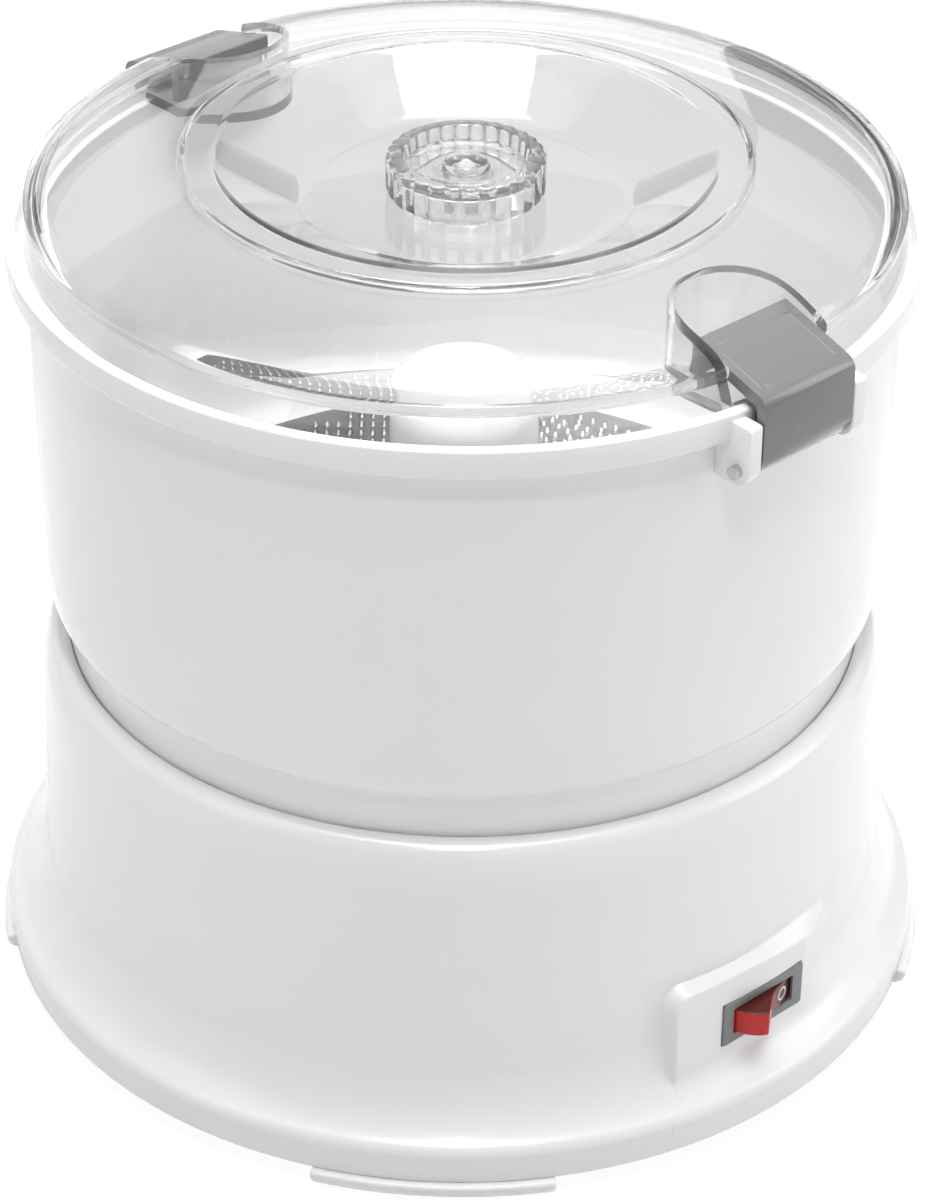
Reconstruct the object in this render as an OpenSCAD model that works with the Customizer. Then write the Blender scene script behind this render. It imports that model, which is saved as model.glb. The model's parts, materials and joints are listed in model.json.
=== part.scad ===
// Electric potato peeler: a motor base, a lift-off bowl with a spinning grater
// disc, and a clear lid held down by two rim latches.
// Origin: on the axis, in the plane that the feet stand on. +Z is up, and the
// switch and one latch face -Y. All lengths are in millimetres.

/* [Base housing] */
// Outer radius of the drum just above the flare
drum_r = 108.3; // [106:0.1:112]
// How much narrower the drum is just below the shoulder
drum_taper = 1.7; // [1:0.1:2.5]
// How far the flared foot ring stands out from the drum
flare_w = 10.9; // [10:0.1:14]
// Height of the feet
foot_h = 4.5; // [3:0.5:8]
// Height over which the flare blends into the drum
flare_h = 25.5; // [23:0.5:29]
// Height of the drum between the flare and the shoulder
drum_h = 48; // [44:0.5:60]
// Height over which the shoulder rounds in to the lip
shoulder_h = 16.5; // [14:0.5:18]
// Width of the shoulder, from the drum in to the seat
lip_w = 6.9; // [6:0.1:8]
// Depth of the seat that the bowl's foot drops into
seat_depth = 4.5; // [3:0.5:6]
// Wall of the housing
wall = 2.6; // [2:0.1:3.2]

/* [Bottom and feet] */
// Thickness of the bottom plate
plate_t = 2.5; // [2.5:0.1:3.5]
// Angle that each foot spans
foot_angle = 31; // [20:1:40]
// Radial width of a foot
foot_w = 18; // [14:0.5:20]
// How far a foot's outer face stands out past the flange
foot_reach = 1.7; // [1:0.1:2.5]
// Distance from the drum's wall in to the bottom plate's screws
plate_screw_in = 14.3; // [13:0.1:17]
// Number of cooling slots in the bottom plate
slots = 7; // [3:2:9]

/* [Switch] */
// Height of the switch's centre above the flange's lower edge
switch_h = 26.7; // [25:0.1:29]
// Width of the raised switch panel
panel_w = 56; // [50:1:66]
// Height of the panel's upper edge above the switch's centre
panel_rise = 14.8; // [12:0.1:20]
// How far the panel's face stands out from the drum
panel_out = 2.9; // [2.5:0.1:3.6]
// Radius to which the panel's face is bowed
panel_bow_r = 170; // [150:5:220]
// Width of the switch's bezel
bezel_w = 27.2; // [26:0.2:30]
// Height of the switch's bezel
bezel_h = 12.6; // [12:0.2:14]
// Thickness of the bezel
bezel_t = 0.8; // [0.6:0.1:1.2]
// Tilt of the rocker at rest
rocker_tilt = 27; // [20:1:28]

/* [Cord inlet] */
// Height of the cord inlet's centre above the flare
inlet_rise = 13; // [12:0.5:20]
// Radius of the grommet's bore, for a cord of 7 mm
inlet_bore_r = 3.75; // [3:0.05:4.5]

/* [Bowl] */
// How far the bowl's wall stands out from its foot ring
bowl_step = 5.3; // [4.5:0.1:6.5]
// How much wider the wall is at the rim than at its foot
bowl_draft = 0.5; // [0.2:0.1:1.5]
// How far the rim's band stands out from the wall
rim_w = 4.8; // [4:0.1:6]
// Height of the rim's outer band
rim_band = 7.5; // [5:0.5:9]
// Height of the crease above the base's lip
crease_rise = 11.5; // [10:0.5:14]
// Height over which the wall rounds out from the crease
round_h = 12.5; // [10:0.5:16]
// Wall of the bowl
bowl_wall = 2.5; // [2:0.1:3]
// Height of the bowl's floor above the base's lip
floor_rise = 8; // [7.5:0.5:9]
// Depth of the bowl, from its floor to the rim
bowl_depth = 102.5; // [95:0.5:120]
// Wall of the tube in the bowl's middle
tube_wall = 2.5; // [2:0.1:2.8]
// Height of that tube above the floor
tube_h = 31.5; // [29:0.5:33]

/* [Grater disc] */
// Gap between the disc's edge and the bowl's wall
disc_gap = 8.8; // [6:0.1:11]
// Height of the grater disc's upper face above the bowl's floor
disc_rise = 6.5; // [6:0.5:9]
// Thickness of the grater sheet
sheet_t = 0.8; // [0.5:0.1:1.2]
// Thickness of the carrier under the sheet
carrier_t = 3.2; // [2.5:0.1:4]
// Wall of the carrier's collar
carrier_wall = 2.3; // [1.8:0.1:2.6]
// Wall of the white hub over that collar
hub_wall = 2.9; // [1.8:0.1:3.2]
// Height of the hub above the disc
hub_h = 54.8; // [53:0.1:60]

/* [Lid] */
// Height of the lid's upper edge above the rim
lid_rise = 8; // [7:0.1:10]
// How much narrower the lid is at its upper edge than at its foot
lid_draft = 2; // [1:0.1:3]
// Thickness of the lid
lid_t = 2.2; // [1.8:0.1:2.6]
// Inner radius of the raised ring
ring_in_r = 59.7; // [58:0.1:62]
// Width of the raised ring
ring_w = 7.6; // [6:0.1:9]
// Height of the raised ring above the lid's upper edge
ring_rise = 9.6; // [8:0.1:11]
// Radius of the flat middle of the dish
dish_r = 38.5; // [36:0.1:42]
// Depth of the dish below the raised ring
dish_drop = 11.3; // [10:0.1:12]
// Radius of the knob
knob_r = 19.1; // [17:0.1:21]
// Height of the knob above the dish
knob_h = 10.1; // [9:0.1:12]
// Number of flutes round the knob
flutes = 28; // [16:2:32]

/* [Latches] */
// Width of a latch
latch_w = 28.4; // [26:0.1:32]
// How far a latch reaches in from its outer face
latch_reach = 22.7; // [21:0.1:24]
// How far a latch's outer face stands out from its pivot
latch_out = 3.5; // [3.4:0.1:4.5]
// Height of a latch's inner end above the lid's upper edge
latch_in_rise = 2.3; // [1.5:0.1:4]
// Height of a latch's outer corner above the rim
latch_out_rise = 3.7; // [3.5:0.1:4.5]
// Thickness of a latch's walls
latch_t = 2.5; // [2:0.1:2.6]
// How far the pivot stands out from the rim
pivot_out = 0.7; // [0.5:0.1:1.2]
// Depth of the pivot below the rim's top
pivot_drop = 13.5; // [13:0.1:15]
// Radius of a latch's pin
pin_r = 1.6; // [1.2:0.1:1.8]
// Width of each lug beside a latch
lug_w = 5.6; // [4:0.1:7]

/* [Drive] */
// Radius of the spindle
spindle_r = 4; // [3.5:0.1:4.5]
// Wall of each of the spindle's bushes
bush_wall = 2.5; // [2:0.1:3]
// Wall of the tower round the spindle
tower_wall = 2.5; // [2:0.1:3]
// Width across the flats of the spindle's hexagonal head
hex_af = 12; // [10:0.1:13]
// Height of the spindle's hexagonal head
hex_h = 13; // [10:0.5:14]
// Module of the output gear and the idler's small gear
slow_module = 1.25; // [1.25:0.25:1.25]
// Module of the idler's large gear and the motor's pinion
fast_module = 1; // [1:0.25:1]
// Teeth of the output gear
output_teeth = 60; // [60:1:60]
// Teeth of the idler's small gear
small_teeth = 15; // [15:1:15]
// Teeth of the idler's large gear
large_teeth = 48; // [48:1:48]
// Teeth of the motor's pinion
pinion_teeth = 12; // [12:1:12]
// Face width of the output gear
output_face = 8; // [6:0.5:9]
// Face width of the idler's large gear
large_face = 7; // [5:0.5:8]
// Radius of the motor's can
can_r = 20; // [19:0.5:21]
// Length of the motor's can
can_h = 36; // [34:0.5:40]
// Radius of the gear plate
gear_plate_r = 70; // [68:0.5:72]
// Thickness of the gear plate
gear_plate_t = 3; // [2.5:0.1:4]

/* [Clearances] */
// Radial clearance of a shaft that turns in a bore
run_c = 0.05; // [0.02:0.01:0.1]
// Gap between pieces that slide or drop into each other
gap = 0.3; // [0.2:0.05:0.4]

/* [Hidden] */
$fn = 96;
eps = 0.01;

// Heights, stacked up from the feet
flare_top_z = foot_h + flare_h;
shoulder_z = flare_top_z + drum_h;
lip_z = shoulder_z + shoulder_h;
seat_z = lip_z - seat_depth;
deck_z = seat_z - wall;
crease_z = lip_z + crease_rise;
bowl_floor_z = lip_z + floor_rise;
bowl_round_z = crease_z + round_h;
rim_z = bowl_floor_z + bowl_depth;
channel_depth = 3.5;
channel_z = rim_z - channel_depth;
tube_z = bowl_floor_z + tube_h;
disc_z = bowl_floor_z + disc_rise;
hub_z = disc_z + hub_h;
lid_z = rim_z + lid_rise;
ring_z = lid_z + ring_rise;
dish_z = ring_z - dish_drop;

// Radii, worked in and out from the drum
drum_top_r = drum_r - drum_taper;
flange_r = drum_r + flare_w;
flange_wall = wall + 0.2;
flange_in_r = flange_r - flange_wall;
seat_r = drum_top_r - lip_w;
foot_ring_r = seat_r - gap;
bowl_low_r = foot_ring_r + bowl_step;
bowl_top_r = bowl_low_r + bowl_draft;
rim_r = bowl_top_r + rim_w;
rim_lip = 2.8;
channel_r = rim_r - rim_lip;
lid_foot_r = channel_r - gap;
lid_r = lid_foot_r - lid_draft;
disc_r = bowl_low_r - bowl_wall - disc_gap;

// Bottom plate and the posts for its screws
plate_r = flange_in_r - 0.2;
plate_top_z = foot_h + plate_t;
plate_screw_r = drum_r - plate_screw_in;
post_r = 4.2;
slot_w = 3;
slot_l = 30;
slot_pitch = 6;
foot_out_r = flange_r + foot_reach;
foot_mid_r = foot_out_r - foot_w / 2;
foot_soft = 1.2;
foot_round = 3.2;
spigot_r = 3;
lip_soft = 0.9;

// Keys in the seat that stop the bowl from turning
key_w = 8;
key_l = 10.4;
key_out_r = foot_ring_r - bowl_wall - 0.5;
key_in_r = key_out_r - key_l;
key_h = 5;
keys = 3;
rib_in_r = key_in_r - 2;

// Screws: shank, head and grip
screw_r = 1.7;
screw_head_r = 3.4;
screw_head_h = 1.5;
screw_fit = 0.2;
plate_screw_grip = 13;
plate_screw_hole = 19;
gear_screw_head_h = 2;
gear_screw_grip = 12;
gear_screw_hole = 14;
small_screw_r = 1.25;
small_head_r = 2.6;
small_head_h = 1.8;

// Gear train, laid out from the spindle to the idler and on to the motor
gear_gap = 0.2;
pressure_angle = 25;
addendum_ratio = 0.8;
dedendum_ratio = 1.1;
slow_centres = slow_module * (output_teeth + small_teeth) / 2;
fast_centres = fast_module * (large_teeth + pinion_teeth) / 2;
idler_dir = 60;
motor_dir = 120;
idler_at = slow_centres * [cos(idler_dir), sin(idler_dir)];
motor_at = idler_at + fast_centres * [cos(motor_dir), sin(motor_dir)];

// Gear plate, hung under the deck on four posts, with the gears above it
gear_lift = 2;
gear_space = 3;
output_hub_rise = 3;
deck_space = 2.4;
gear_plate_z = deck_z - deck_space - output_hub_rise - output_face - gear_space - large_face - gear_lift
    - gear_plate_t;
gear_plate_top = gear_plate_z + gear_plate_t;
gear_plate_at = [6, 22];
gear_post_ring = gear_plate_r - 5;
gear_post_dir = 15;

// Bearings on the spindle, and the tower that holds the upper ones
bush_r = spindle_r + bush_wall + 0.5;
bush_boss_r = bush_r + 3;
bush_drop = 4;
bush_rise = 3;
bush_low_z = gear_plate_z - bush_drop;
bush_high_z = gear_plate_top + bush_rise;
upper_bush_r = spindle_r + bush_wall;
upper_bush_h = 14;
seal_h = 5;
tower_r = upper_bush_r + tower_wall;
tower_z = tube_z - 3;
upper_bush_z = tower_z - seal_h - upper_bush_h;
shaft_room_r = spindle_r + 1.4;
spindle_low_z = bush_low_z - 3;
clip_t = 1;
clip_z = bush_low_z - gap - clip_t;
clip_groove = 0.6;
clip_slot = 4;
washer_t = 1;
washer_z = bush_high_z + gap;

// Output gear and idler
output_hub_r = spindle_r + 5;
output_hub_z = washer_z + washer_t;
output_z = gear_plate_top + gear_lift + large_face + gear_space;
output_hub_top = output_z + output_face + output_hub_rise;
web_t = 3;
rim_t = 6;
idler_axle_r = 2.5;
idler_hub_r = 6;
idler_low_z = gear_plate_top + gap;
idler_large_z = gear_plate_top + gear_lift;
idler_small_top = output_z + output_face + output_hub_rise - 0.7;
axle_boss_r = 5;
pinion_z = gear_plate_top + 1;
pinion_face = large_face + 2.5;

// Motor
motor_shaft_r = 2.5;
can_wall = 1.5;
can_top_z = gear_plate_z;
can_low_z = can_top_z - can_h;
cap_t = 4;
nose_r = 8;
motor_bush_r = 6;
magnet_t = 4;
magnet_span = 130;
magnet_low = 5;
magnet_high = 7;
air_gap = 1;
commutator_r = 5;
commutator_z = can_low_z + 1.5;
commutator_h = 5.5;
armature_low = 9;
armature_high = 8;
armature_z = can_low_z + armature_low;
brush_size = [7, 3, 4];
motor_screw_at = 12;
shaft_tail = 1;

// Circuit board on the bottom plate
board_at = [-48, -48];
board_dir = -45;
board_l = 46;
board_w = 24;
board_t = 1.6;
board_screw_in = 5;
standoff_r = 3;
standoff_h = 5;

// Hexagonal head on the spindle, and the hub's socket that drops over it
head_z = tube_z + 3;
head_top_z = head_z + hex_h;
hex_c = 0.25;
socket_r = hex_af / 2 / cos(30) + 3.5;
tube_in_r = tower_r + 0.5;
tube_r = tube_in_r + tube_wall;
carrier_tube_in = tube_r + 0.6;
carrier_tube_r = carrier_tube_in + carrier_wall;
carrier_z = disc_z - sheet_t - carrier_t;
socket_top_z = hub_z - 5.8;
hub_in_r = carrier_tube_r + 0.2;
hub_r = hub_in_r + hub_wall;
hub_flange_w = 5;
hub_flange_r = hub_r + hub_flange_w;
hub_flange_t = 2;
hub_screw_at = hub_r + 2.3;
hub_screw_n = 4;
hub_screw_bite = 1.5;
rib_n = 8;
rib_h = 1.5;
collar_z = disc_z + 4;
rib_t = 2;

// Latch pivot, its lugs, and the recess in the lid
pivot_r = rim_r + pivot_out;
pivot_z = rim_z - pivot_drop;
latch_out_r = pivot_r + latch_out;
latch_in_r = latch_out_r - latch_reach;
latch_in_z = lid_z + latch_in_rise;
latch_out_z = rim_z + latch_out_rise;
barrel_r = pin_r + 2;
lug_gap = 0.4;
lug_x = latch_w / 2 + lug_gap;
lug_round = 4;
lug_top_z = rim_z - 2;
lug_in_r = bowl_top_r - bowl_wall - 0.5;
ring_out_r = ring_in_r + ring_w;
recess_gap = 0.8;
recess_wall = 2;
recess_hw = latch_w / 2 + recess_gap + recess_wall;
recess_r = latch_in_r + 0.5;
recess_floor_t = 2.3;
recess_floor = channel_z + recess_floor_t;
recess_tall = 60;
hook_z = recess_floor + gap;

// Knob
knob_screw_r = 2;
knob_screw_head_r = 4;
knob_screw_head_h = 2.2;
knob_wall = 3.7;
knob_boss_r = 5.1;
knob_dish_r = knob_r - 4.8;
knob_dish_drop = 3.4;
knob_dish_z = dish_z + knob_h - knob_dish_drop;
knob_web = 1.8;
flute_r = 1.3;

// Switch
switch_z = foot_h + switch_h;
panel_top_z = switch_z + panel_rise;
panel_low_z = foot_h + 6;
panel_y = drum_r + panel_out;
panel_soft = 5;
panel_deep = 21;
seat_y = panel_y - panel_bow_r + sqrt(panel_bow_r * panel_bow_r - bezel_w * bezel_w / 4) - 0.1;
bezel_y = seat_y + bezel_t;
switch_wall = 1;
switch_hw = bezel_w / 2 - 1.3;
switch_hh = bezel_h / 2 - 0.9;
switch_depth = 16;
switch_fit = 0.1;
window_hw = bezel_w / 2 - 3.4;
window_hh = bezel_h / 2 - 2.5;
rocker_r = window_hw - gap;
rocker_hh = window_hh - gap;
rocker_depth = 2.6;
rocker_pressed = 80;
rocker_edge = rocker_pressed - rocker_tilt;
rocker_wrap = 2 * rocker_tilt + 15;
rocker_vee = 12;
trunnion_r = 1.3;
rocker_pivot_y = bezel_y - rocker_depth;
lip_t = 1.2;
terminal_l = 8;

// Cord inlet
inlet_z = flare_top_z + inlet_rise;
inlet_boss_r = 11;
inlet_y = drum_r + 1.2;
gland_r = 6;
gland_flange_r = 8.5;
gland_flange_t = 3;
gland_in_y = inlet_y - 9.5;
inlet_boss_l = 19.5;

// Points on a quadratic curve from a to c that leans towards b
function curve(a, b, c, n) =
    [for (i = [0:n]) let (t = i / n) (1 - t) * (1 - t) * a + 2 * t * (1 - t) * b + t * t * c];

// Points on an arc about c, from angle a to angle b
function arc(c, r, a, b, n) = [for (i = [0:n]) let (t = a + (b - a) * i / n) c + r * [cos(t), sin(t)]];

// Involute function, in degrees
function inv_deg(a) = tan(a) * 180 / PI - a;

// Half angle of a tooth at radius p, for a gear with base radius rb
function tooth_half(p, rb, half_at_base) = half_at_base - inv_deg(acos(min(1, rb / p)));

// Outline of a spur gear with one tooth centred on +X
function gear_outline(teeth, m) =
    let (r = teeth * m / 2, rb = r * cos(pressure_angle), tip = r + addendum_ratio * m,
         root = r - dedendum_ratio * m, low = max(root, rb),
         half_at_base = 90 / teeth - gear_gap / (4 * r) * 180 / PI + inv_deg(pressure_angle),
         radii = concat(root < rb ? [root] : [], [low, (low + tip) / 2, tip]),
         n = len(radii))
    [for (i = [0:teeth - 1], k = [0:2 * n - 1])
        let (p = k < n ? radii[k] : radii[2 * n - 1 - k],
             h = tooth_half(max(p, rb), rb, half_at_base),
             a = i * 360 / teeth + (k < n ? -h : h))
        p * [cos(a), sin(a)]];

module spur(teeth, m, face) {
    linear_extrude(face) polygon(gear_outline(teeth, m));
}

// A tube between two radii
module ring(r_out, r_in, z, h) {
    translate([0, 0, z]) difference() {
        cylinder(r = r_out, h = h);
        translate([0, 0, -1]) cylinder(r = r_in, h = h + 2);
    }
}

module post(at, r, z, h) {
    translate([at[0], at[1], z]) cylinder(r = r, h = h);
}

// A rectangular hole through a wall that faces -Y, with the switch's clearance all round
module switch_hole(hw, hh, depth) {
    translate([-hw - switch_fit, 0, -hh - switch_fit])
        cube([2 * (hw + switch_fit), depth, 2 * (hh + switch_fit)]);
}

// A screw that points up, with its head's underside at z
module screw(at, r, head_r, head_h, z, length) {
    post(at, head_r, z - head_h, head_h);
    post(at, r, z, length);
}

// A plate with round corners, standing in the XZ plane and growing towards +Y
module round_panel(w, z0, z1, y0, y1, r) {
    translate([0, y1, 0]) rotate([90, 0, 0]) linear_extrude(y1 - y0) {
        translate([-w / 2 + r, z0]) square([w - 2 * r, z1 - z0]);
        translate([-w / 2, z0 + r]) square([w, z1 - z0 - 2 * r]);
        for (x = [-w / 2 + r, w / 2 - r], z = [z0 + r, z1 - r]) translate([x, z]) circle(r = r);
    }
}

function ring_point(r, a) = [r * cos(a), r * sin(a)];
function plate_post(i) = ring_point(plate_screw_r, 45 + 90 * i);
function hub_screw(i) = ring_point(hub_screw_at, 360 / hub_screw_n * i);
function gear_post(i) = gear_plate_at + ring_point(gear_post_ring, gear_post_dir + 90 * i);

// Outer face of the housing, from the flange's lower edge to the lip
function housing_outline() = concat(
    curve([flange_r - 0.5, foot_h], [flange_r, foot_h + 0.05 * flare_h],
        [flange_r, foot_h + 0.3 * flare_h], 4),
    curve([flange_r, foot_h + 0.3 * flare_h], [flange_r, foot_h + 0.38 * flare_h],
        [flange_r - 2.5, foot_h + 0.43 * flare_h], 5),
    curve([flange_r - 2.5, foot_h + 0.43 * flare_h], [drum_r + 1.7, foot_h + 0.6 * flare_h],
        [drum_r, flare_top_z], 10),
    curve([drum_top_r, shoulder_z], [drum_top_r - 0.2, lip_z - 2.5], [seat_r + lip_soft, lip_z], 10));

// Inner face of the same walls
function cavity_outline() = concat(
    [[flange_in_r, foot_h - 1], [flange_in_r, foot_h + 0.28 * flare_h]],
    curve([flange_in_r, foot_h + 0.28 * flare_h], [drum_r - 0.7, foot_h + 0.45 * flare_h],
        [drum_r - wall, flare_top_z], 8),
    curve([drum_top_r - wall, shoulder_z - 2], [drum_top_r - wall - 0.4, deck_z - 1],
        [seat_r - 2, deck_z], 6));

module base_housing() {
    color("white") {
        difference() {
            union() {
                rotate_extrude() polygon(concat([[0, foot_h]], housing_outline(), [[0, lip_z]]));
                intersection() {
                    round_panel(panel_w, panel_low_z, panel_top_z, -panel_y, panel_deep - panel_y,
                        panel_soft);
                    translate([0, panel_bow_r - panel_y, 0]) cylinder(r = panel_bow_r, h = lip_z);
                }
                translate([0, inlet_y - inlet_boss_l, inlet_z]) rotate([-90, 0, 0])
                    cylinder(r = inlet_boss_r, h = inlet_boss_l);
            }
            difference() {
                rotate_extrude() polygon(concat([[0, foot_h - 1]], cavity_outline(), [[0, deck_z]]));
                translate([0, gland_in_y, inlet_z]) rotate([-90, 0, 0])
                    cylinder(r = inlet_boss_r, h = inlet_boss_l);
            }
            intersection() {
                round_panel(panel_w - 2 * wall, panel_low_z + wall, panel_top_z - wall, wall - panel_y,
                    panel_deep + 1 - panel_y, panel_soft - 2);
                translate([0, panel_bow_r - panel_y, 0]) cylinder(r = panel_bow_r - wall, h = lip_z);
            }
            translate([0, -panel_y - 1, switch_z]) switch_hole(switch_hw, switch_hh, 3 * wall);
            translate([0, -panel_y - 1, switch_z])
                switch_hole(bezel_w / 2, bezel_h / 2, 1 + panel_y - seat_y);
            translate([0, inlet_y - inlet_boss_l, inlet_z]) rotate([-90, 0, 0])
                cylinder(r = gland_r, h = 2 * inlet_boss_l);
            translate([0, 0, seat_z]) cylinder(r = seat_r, h = 2 * seat_depth);
            translate([0, 0, deck_z - 1]) cylinder(r = shaft_room_r, h = 2 * wall);
        }
        ring(tower_r, shaft_room_r, seat_z - 1, upper_bush_z - seat_z + 1);
        ring(tower_r, upper_bush_r, upper_bush_z, tower_z - upper_bush_z);
        for (i = [0:3]) difference() {
            post(plate_post(i), post_r, plate_top_z, deck_z - plate_top_z + 1);
            post(plate_post(i), screw_r, plate_top_z - 1, plate_screw_hole + 1);
        }
        for (i = [0:3]) difference() {
            post(gear_post(i), post_r, gear_plate_top, deck_z - gear_plate_top + 1);
            post(gear_post(i), screw_r, gear_plate_top - 1, gear_screw_hole + 1);
        }
        difference() {
            post(idler_at, axle_boss_r, idler_small_top + gap, deck_z - idler_small_top - gap + 1);
            post(idler_at, idler_axle_r, idler_small_top, deck_z - idler_small_top);
        }
        for (i = [0:keys - 1]) rotate(90 + 360 / keys * i)
            translate([key_in_r, -key_w / 2, seat_z - 1]) cube([key_out_r - key_in_r, key_w, key_h + 1]);
    }
}

module bottom_plate() {
    color("gainsboro") difference() {
        translate([0, 0, foot_h]) cylinder(r = plate_r, h = plate_t);
        for (i = [0:3]) {
            post(plate_post(i), screw_head_r + screw_fit, foot_h - 1, screw_head_h + 1);
            post(plate_post(i), screw_r + screw_fit, foot_h, plate_t + 1);
            post(ring_point(foot_mid_r, 45 + 90 * i), spigot_r, foot_h - 1, plate_t + 2);
        }
        for (i = [0:slots - 1])
            translate([motor_at[0] + (i - (slots - 1) / 2) * slot_pitch - slot_w / 2,
                motor_at[1] - slot_l / 2, foot_h - 1]) cube([slot_w, slot_l, plate_t + 2]);
    }
}

module feet() {
    c = foot_soft;
    color("whitesmoke") for (i = [0:3]) {
        rotate(45 + 90 * i - foot_angle / 2) rotate_extrude(angle = foot_angle) polygon(concat(
            [[foot_out_r - foot_w, c], [foot_out_r - foot_w + c, 0]],
            curve([foot_out_r - foot_round, 0], [foot_out_r, 0], [foot_out_r, foot_round], 5),
            [[foot_out_r, foot_h], [foot_out_r - foot_w, foot_h]]));
        post(ring_point(foot_mid_r, 45 + 90 * i), spigot_r, foot_h - eps, plate_t + eps);
    }
}

module plate_screws() {
    color("silver") for (i = [0:3])
        screw(plate_post(i), screw_r, screw_head_r, screw_head_h, foot_h + screw_head_h,
            plate_t - screw_head_h + plate_screw_grip);
}

module cord_gland() {
    color("dimgray") translate([0, 0, inlet_z]) rotate([-90, 0, 0]) difference() {
        union() {
            translate([0, 0, inlet_y]) cylinder(r = gland_flange_r, h = gland_flange_t);
            translate([0, 0, gland_in_y]) cylinder(r = gland_r, h = inlet_y - gland_in_y);
            translate([0, 0, gland_in_y - gland_flange_t])
                cylinder(r = gland_flange_r - 1, h = gland_flange_t);
        }
        translate([0, 0, gland_in_y - inlet_boss_l]) cylinder(r = inlet_bore_r, h = 3 * inlet_boss_l);
    }
}

module switch_body() {
    color("gray") translate([0, 0, switch_z]) difference() {
        union() {
            translate([-bezel_w / 2, -bezel_y, -bezel_h / 2]) cube([bezel_w, bezel_t, bezel_h]);
            translate([-switch_hw, -seat_y, -switch_hh]) cube([2 * switch_hw, switch_depth, 2 * switch_hh]);
        }
        translate([-window_hw, -bezel_y - 1, -window_hh]) cube([2 * window_hw, lip_t + 1.5, 2 * window_hh]);
        translate([-switch_hw + switch_wall, -bezel_y + lip_t, -switch_hh + 1.2])
            cube([2 * (switch_hw - switch_wall), switch_depth - 4, 2 * (switch_hh - 1.2)]);
        translate([0, -rocker_pivot_y, -switch_hh - 1])
            cylinder(r = trunnion_r + run_c, h = 2 * switch_hh + 2);
    }
}

module switch_terminals() {
    color("goldenrod") for (x = [-7, 0, 7])
        translate([x - 0.4, -seat_y + switch_depth, switch_z - 3]) cube([0.8, terminal_l, 6]);
}

// Rocker outline about its pivot, level, with the front towards -Y
function rocker_outline() = concat(
    [[0, -rocker_r * (cos(rocker_edge) - sin(rocker_edge) * tan(rocker_vee))]],
    arc([0, 0], rocker_r, rocker_edge - 90, rocker_edge - 90 + rocker_wrap, 8),
    [[3, 4], [-3, 4]],
    arc([0, 0], rocker_r, -90 - rocker_edge - rocker_wrap, -90 - rocker_edge, 8));

module rocker() {
    color("red") translate([0, -rocker_pivot_y, switch_z]) {
        rotate(rocker_tilt) translate([0, 0, -rocker_hh])
            linear_extrude(2 * rocker_hh) polygon(rocker_outline());
        translate([0, 0, -switch_hh + 0.2]) cylinder(r = trunnion_r, h = 2 * switch_hh - 0.4);
    }
}

module gear_plate() {
    color("lightgray") difference() {
        union() {
            post(gear_plate_at, gear_plate_r, gear_plate_z, gear_plate_t);
            post([0, 0], bush_boss_r, bush_low_z, bush_high_z - bush_low_z);
        }
        post([0, 0], bush_r, bush_low_z - 1, bush_high_z - bush_low_z + 2);
        post(idler_at, idler_axle_r, gear_plate_z - 1, gear_plate_t + 2);
        post(motor_at, nose_r, gear_plate_z - 1, gear_plate_t + 2);
        for (s = [-1, 1]) post(motor_screw(s), small_screw_r + screw_fit, gear_plate_z - 1, gear_plate_t + 2);
        for (i = [0:3]) {
            post(gear_post(i), screw_r + screw_fit, gear_plate_z - 1, gear_plate_t + 2);
            post(plate_post(i), post_r + 0.8, gear_plate_z - 1, gear_plate_t + 2);
        }
    }
}
function motor_screw(s) = motor_at + s * motor_screw_at * [cos(motor_dir + 90), sin(motor_dir + 90)];

module gear_plate_screws() {
    color("silver") for (i = [0:3])
        screw(gear_post(i), screw_r, screw_head_r, gear_screw_head_h, gear_plate_z,
            gear_plate_t + gear_screw_grip);
}

module motor_can() {
    color("silver") translate([motor_at[0], motor_at[1], 0]) {
        difference() {
            union() {
                translate([0, 0, can_low_z]) cylinder(r = can_r, h = can_h);
                translate([0, 0, can_top_z - 1]) cylinder(r = nose_r, h = gear_plate_t + 1);
            }
            translate([0, 0, can_low_z - 1]) cylinder(r = can_r - can_wall, h = can_h + 1 - can_wall);
            translate([0, 0, can_low_z]) cylinder(r = motor_bush_r, h = can_h + 10);
            for (s = [-1, 1]) translate([motor_screw(s)[0] - motor_at[0], motor_screw(s)[1] - motor_at[1], 0])
                translate([0, 0, can_low_z]) cylinder(r = small_screw_r, h = can_h + 10);
        }
    }
}

module motor_magnets() {
    color("dimgray") translate([motor_at[0], motor_at[1], can_low_z + magnet_low]) for (s = [0, 180])
        rotate(s - magnet_span / 2) rotate_extrude(angle = magnet_span)
            translate([can_r - can_wall - magnet_t, 0]) square([magnet_t, can_h - magnet_low - magnet_high]);
}

module motor_end_cap() {
    color("black") translate([motor_at[0], motor_at[1], 0]) difference() {
        union() {
            translate([0, 0, can_low_z - cap_t]) cylinder(r = can_r, h = cap_t);
            translate([0, 0, can_low_z - eps]) cylinder(r = can_r - can_wall, h = 0.8 + eps);
            for (s = [0, 180]) rotate(s)
                translate([commutator_r + 1.2, -brush_size[1] / 2 - 1, can_low_z - eps])
                cube([brush_size[0] - 0.5, brush_size[1] + 2, commutator_h + 2]);
        }
        translate([0, 0, can_low_z - cap_t - 1]) cylinder(r = motor_bush_r - 1, h = 20);
        for (s = [0, 180]) rotate(s)
            translate([commutator_r, -brush_size[1] / 2, commutator_z + 0.7])
            cube([can_r, brush_size[1], brush_size[2]]);
    }
}

module motor_bushes() {
    color("peru") translate([motor_at[0], motor_at[1], 0]) {
        ring(motor_bush_r, motor_shaft_r + run_c, can_top_z - can_wall, can_wall + gear_plate_t);
        ring(motor_bush_r - 1, motor_shaft_r + run_c, can_low_z - cap_t, cap_t + 0.8);
    }
}

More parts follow.
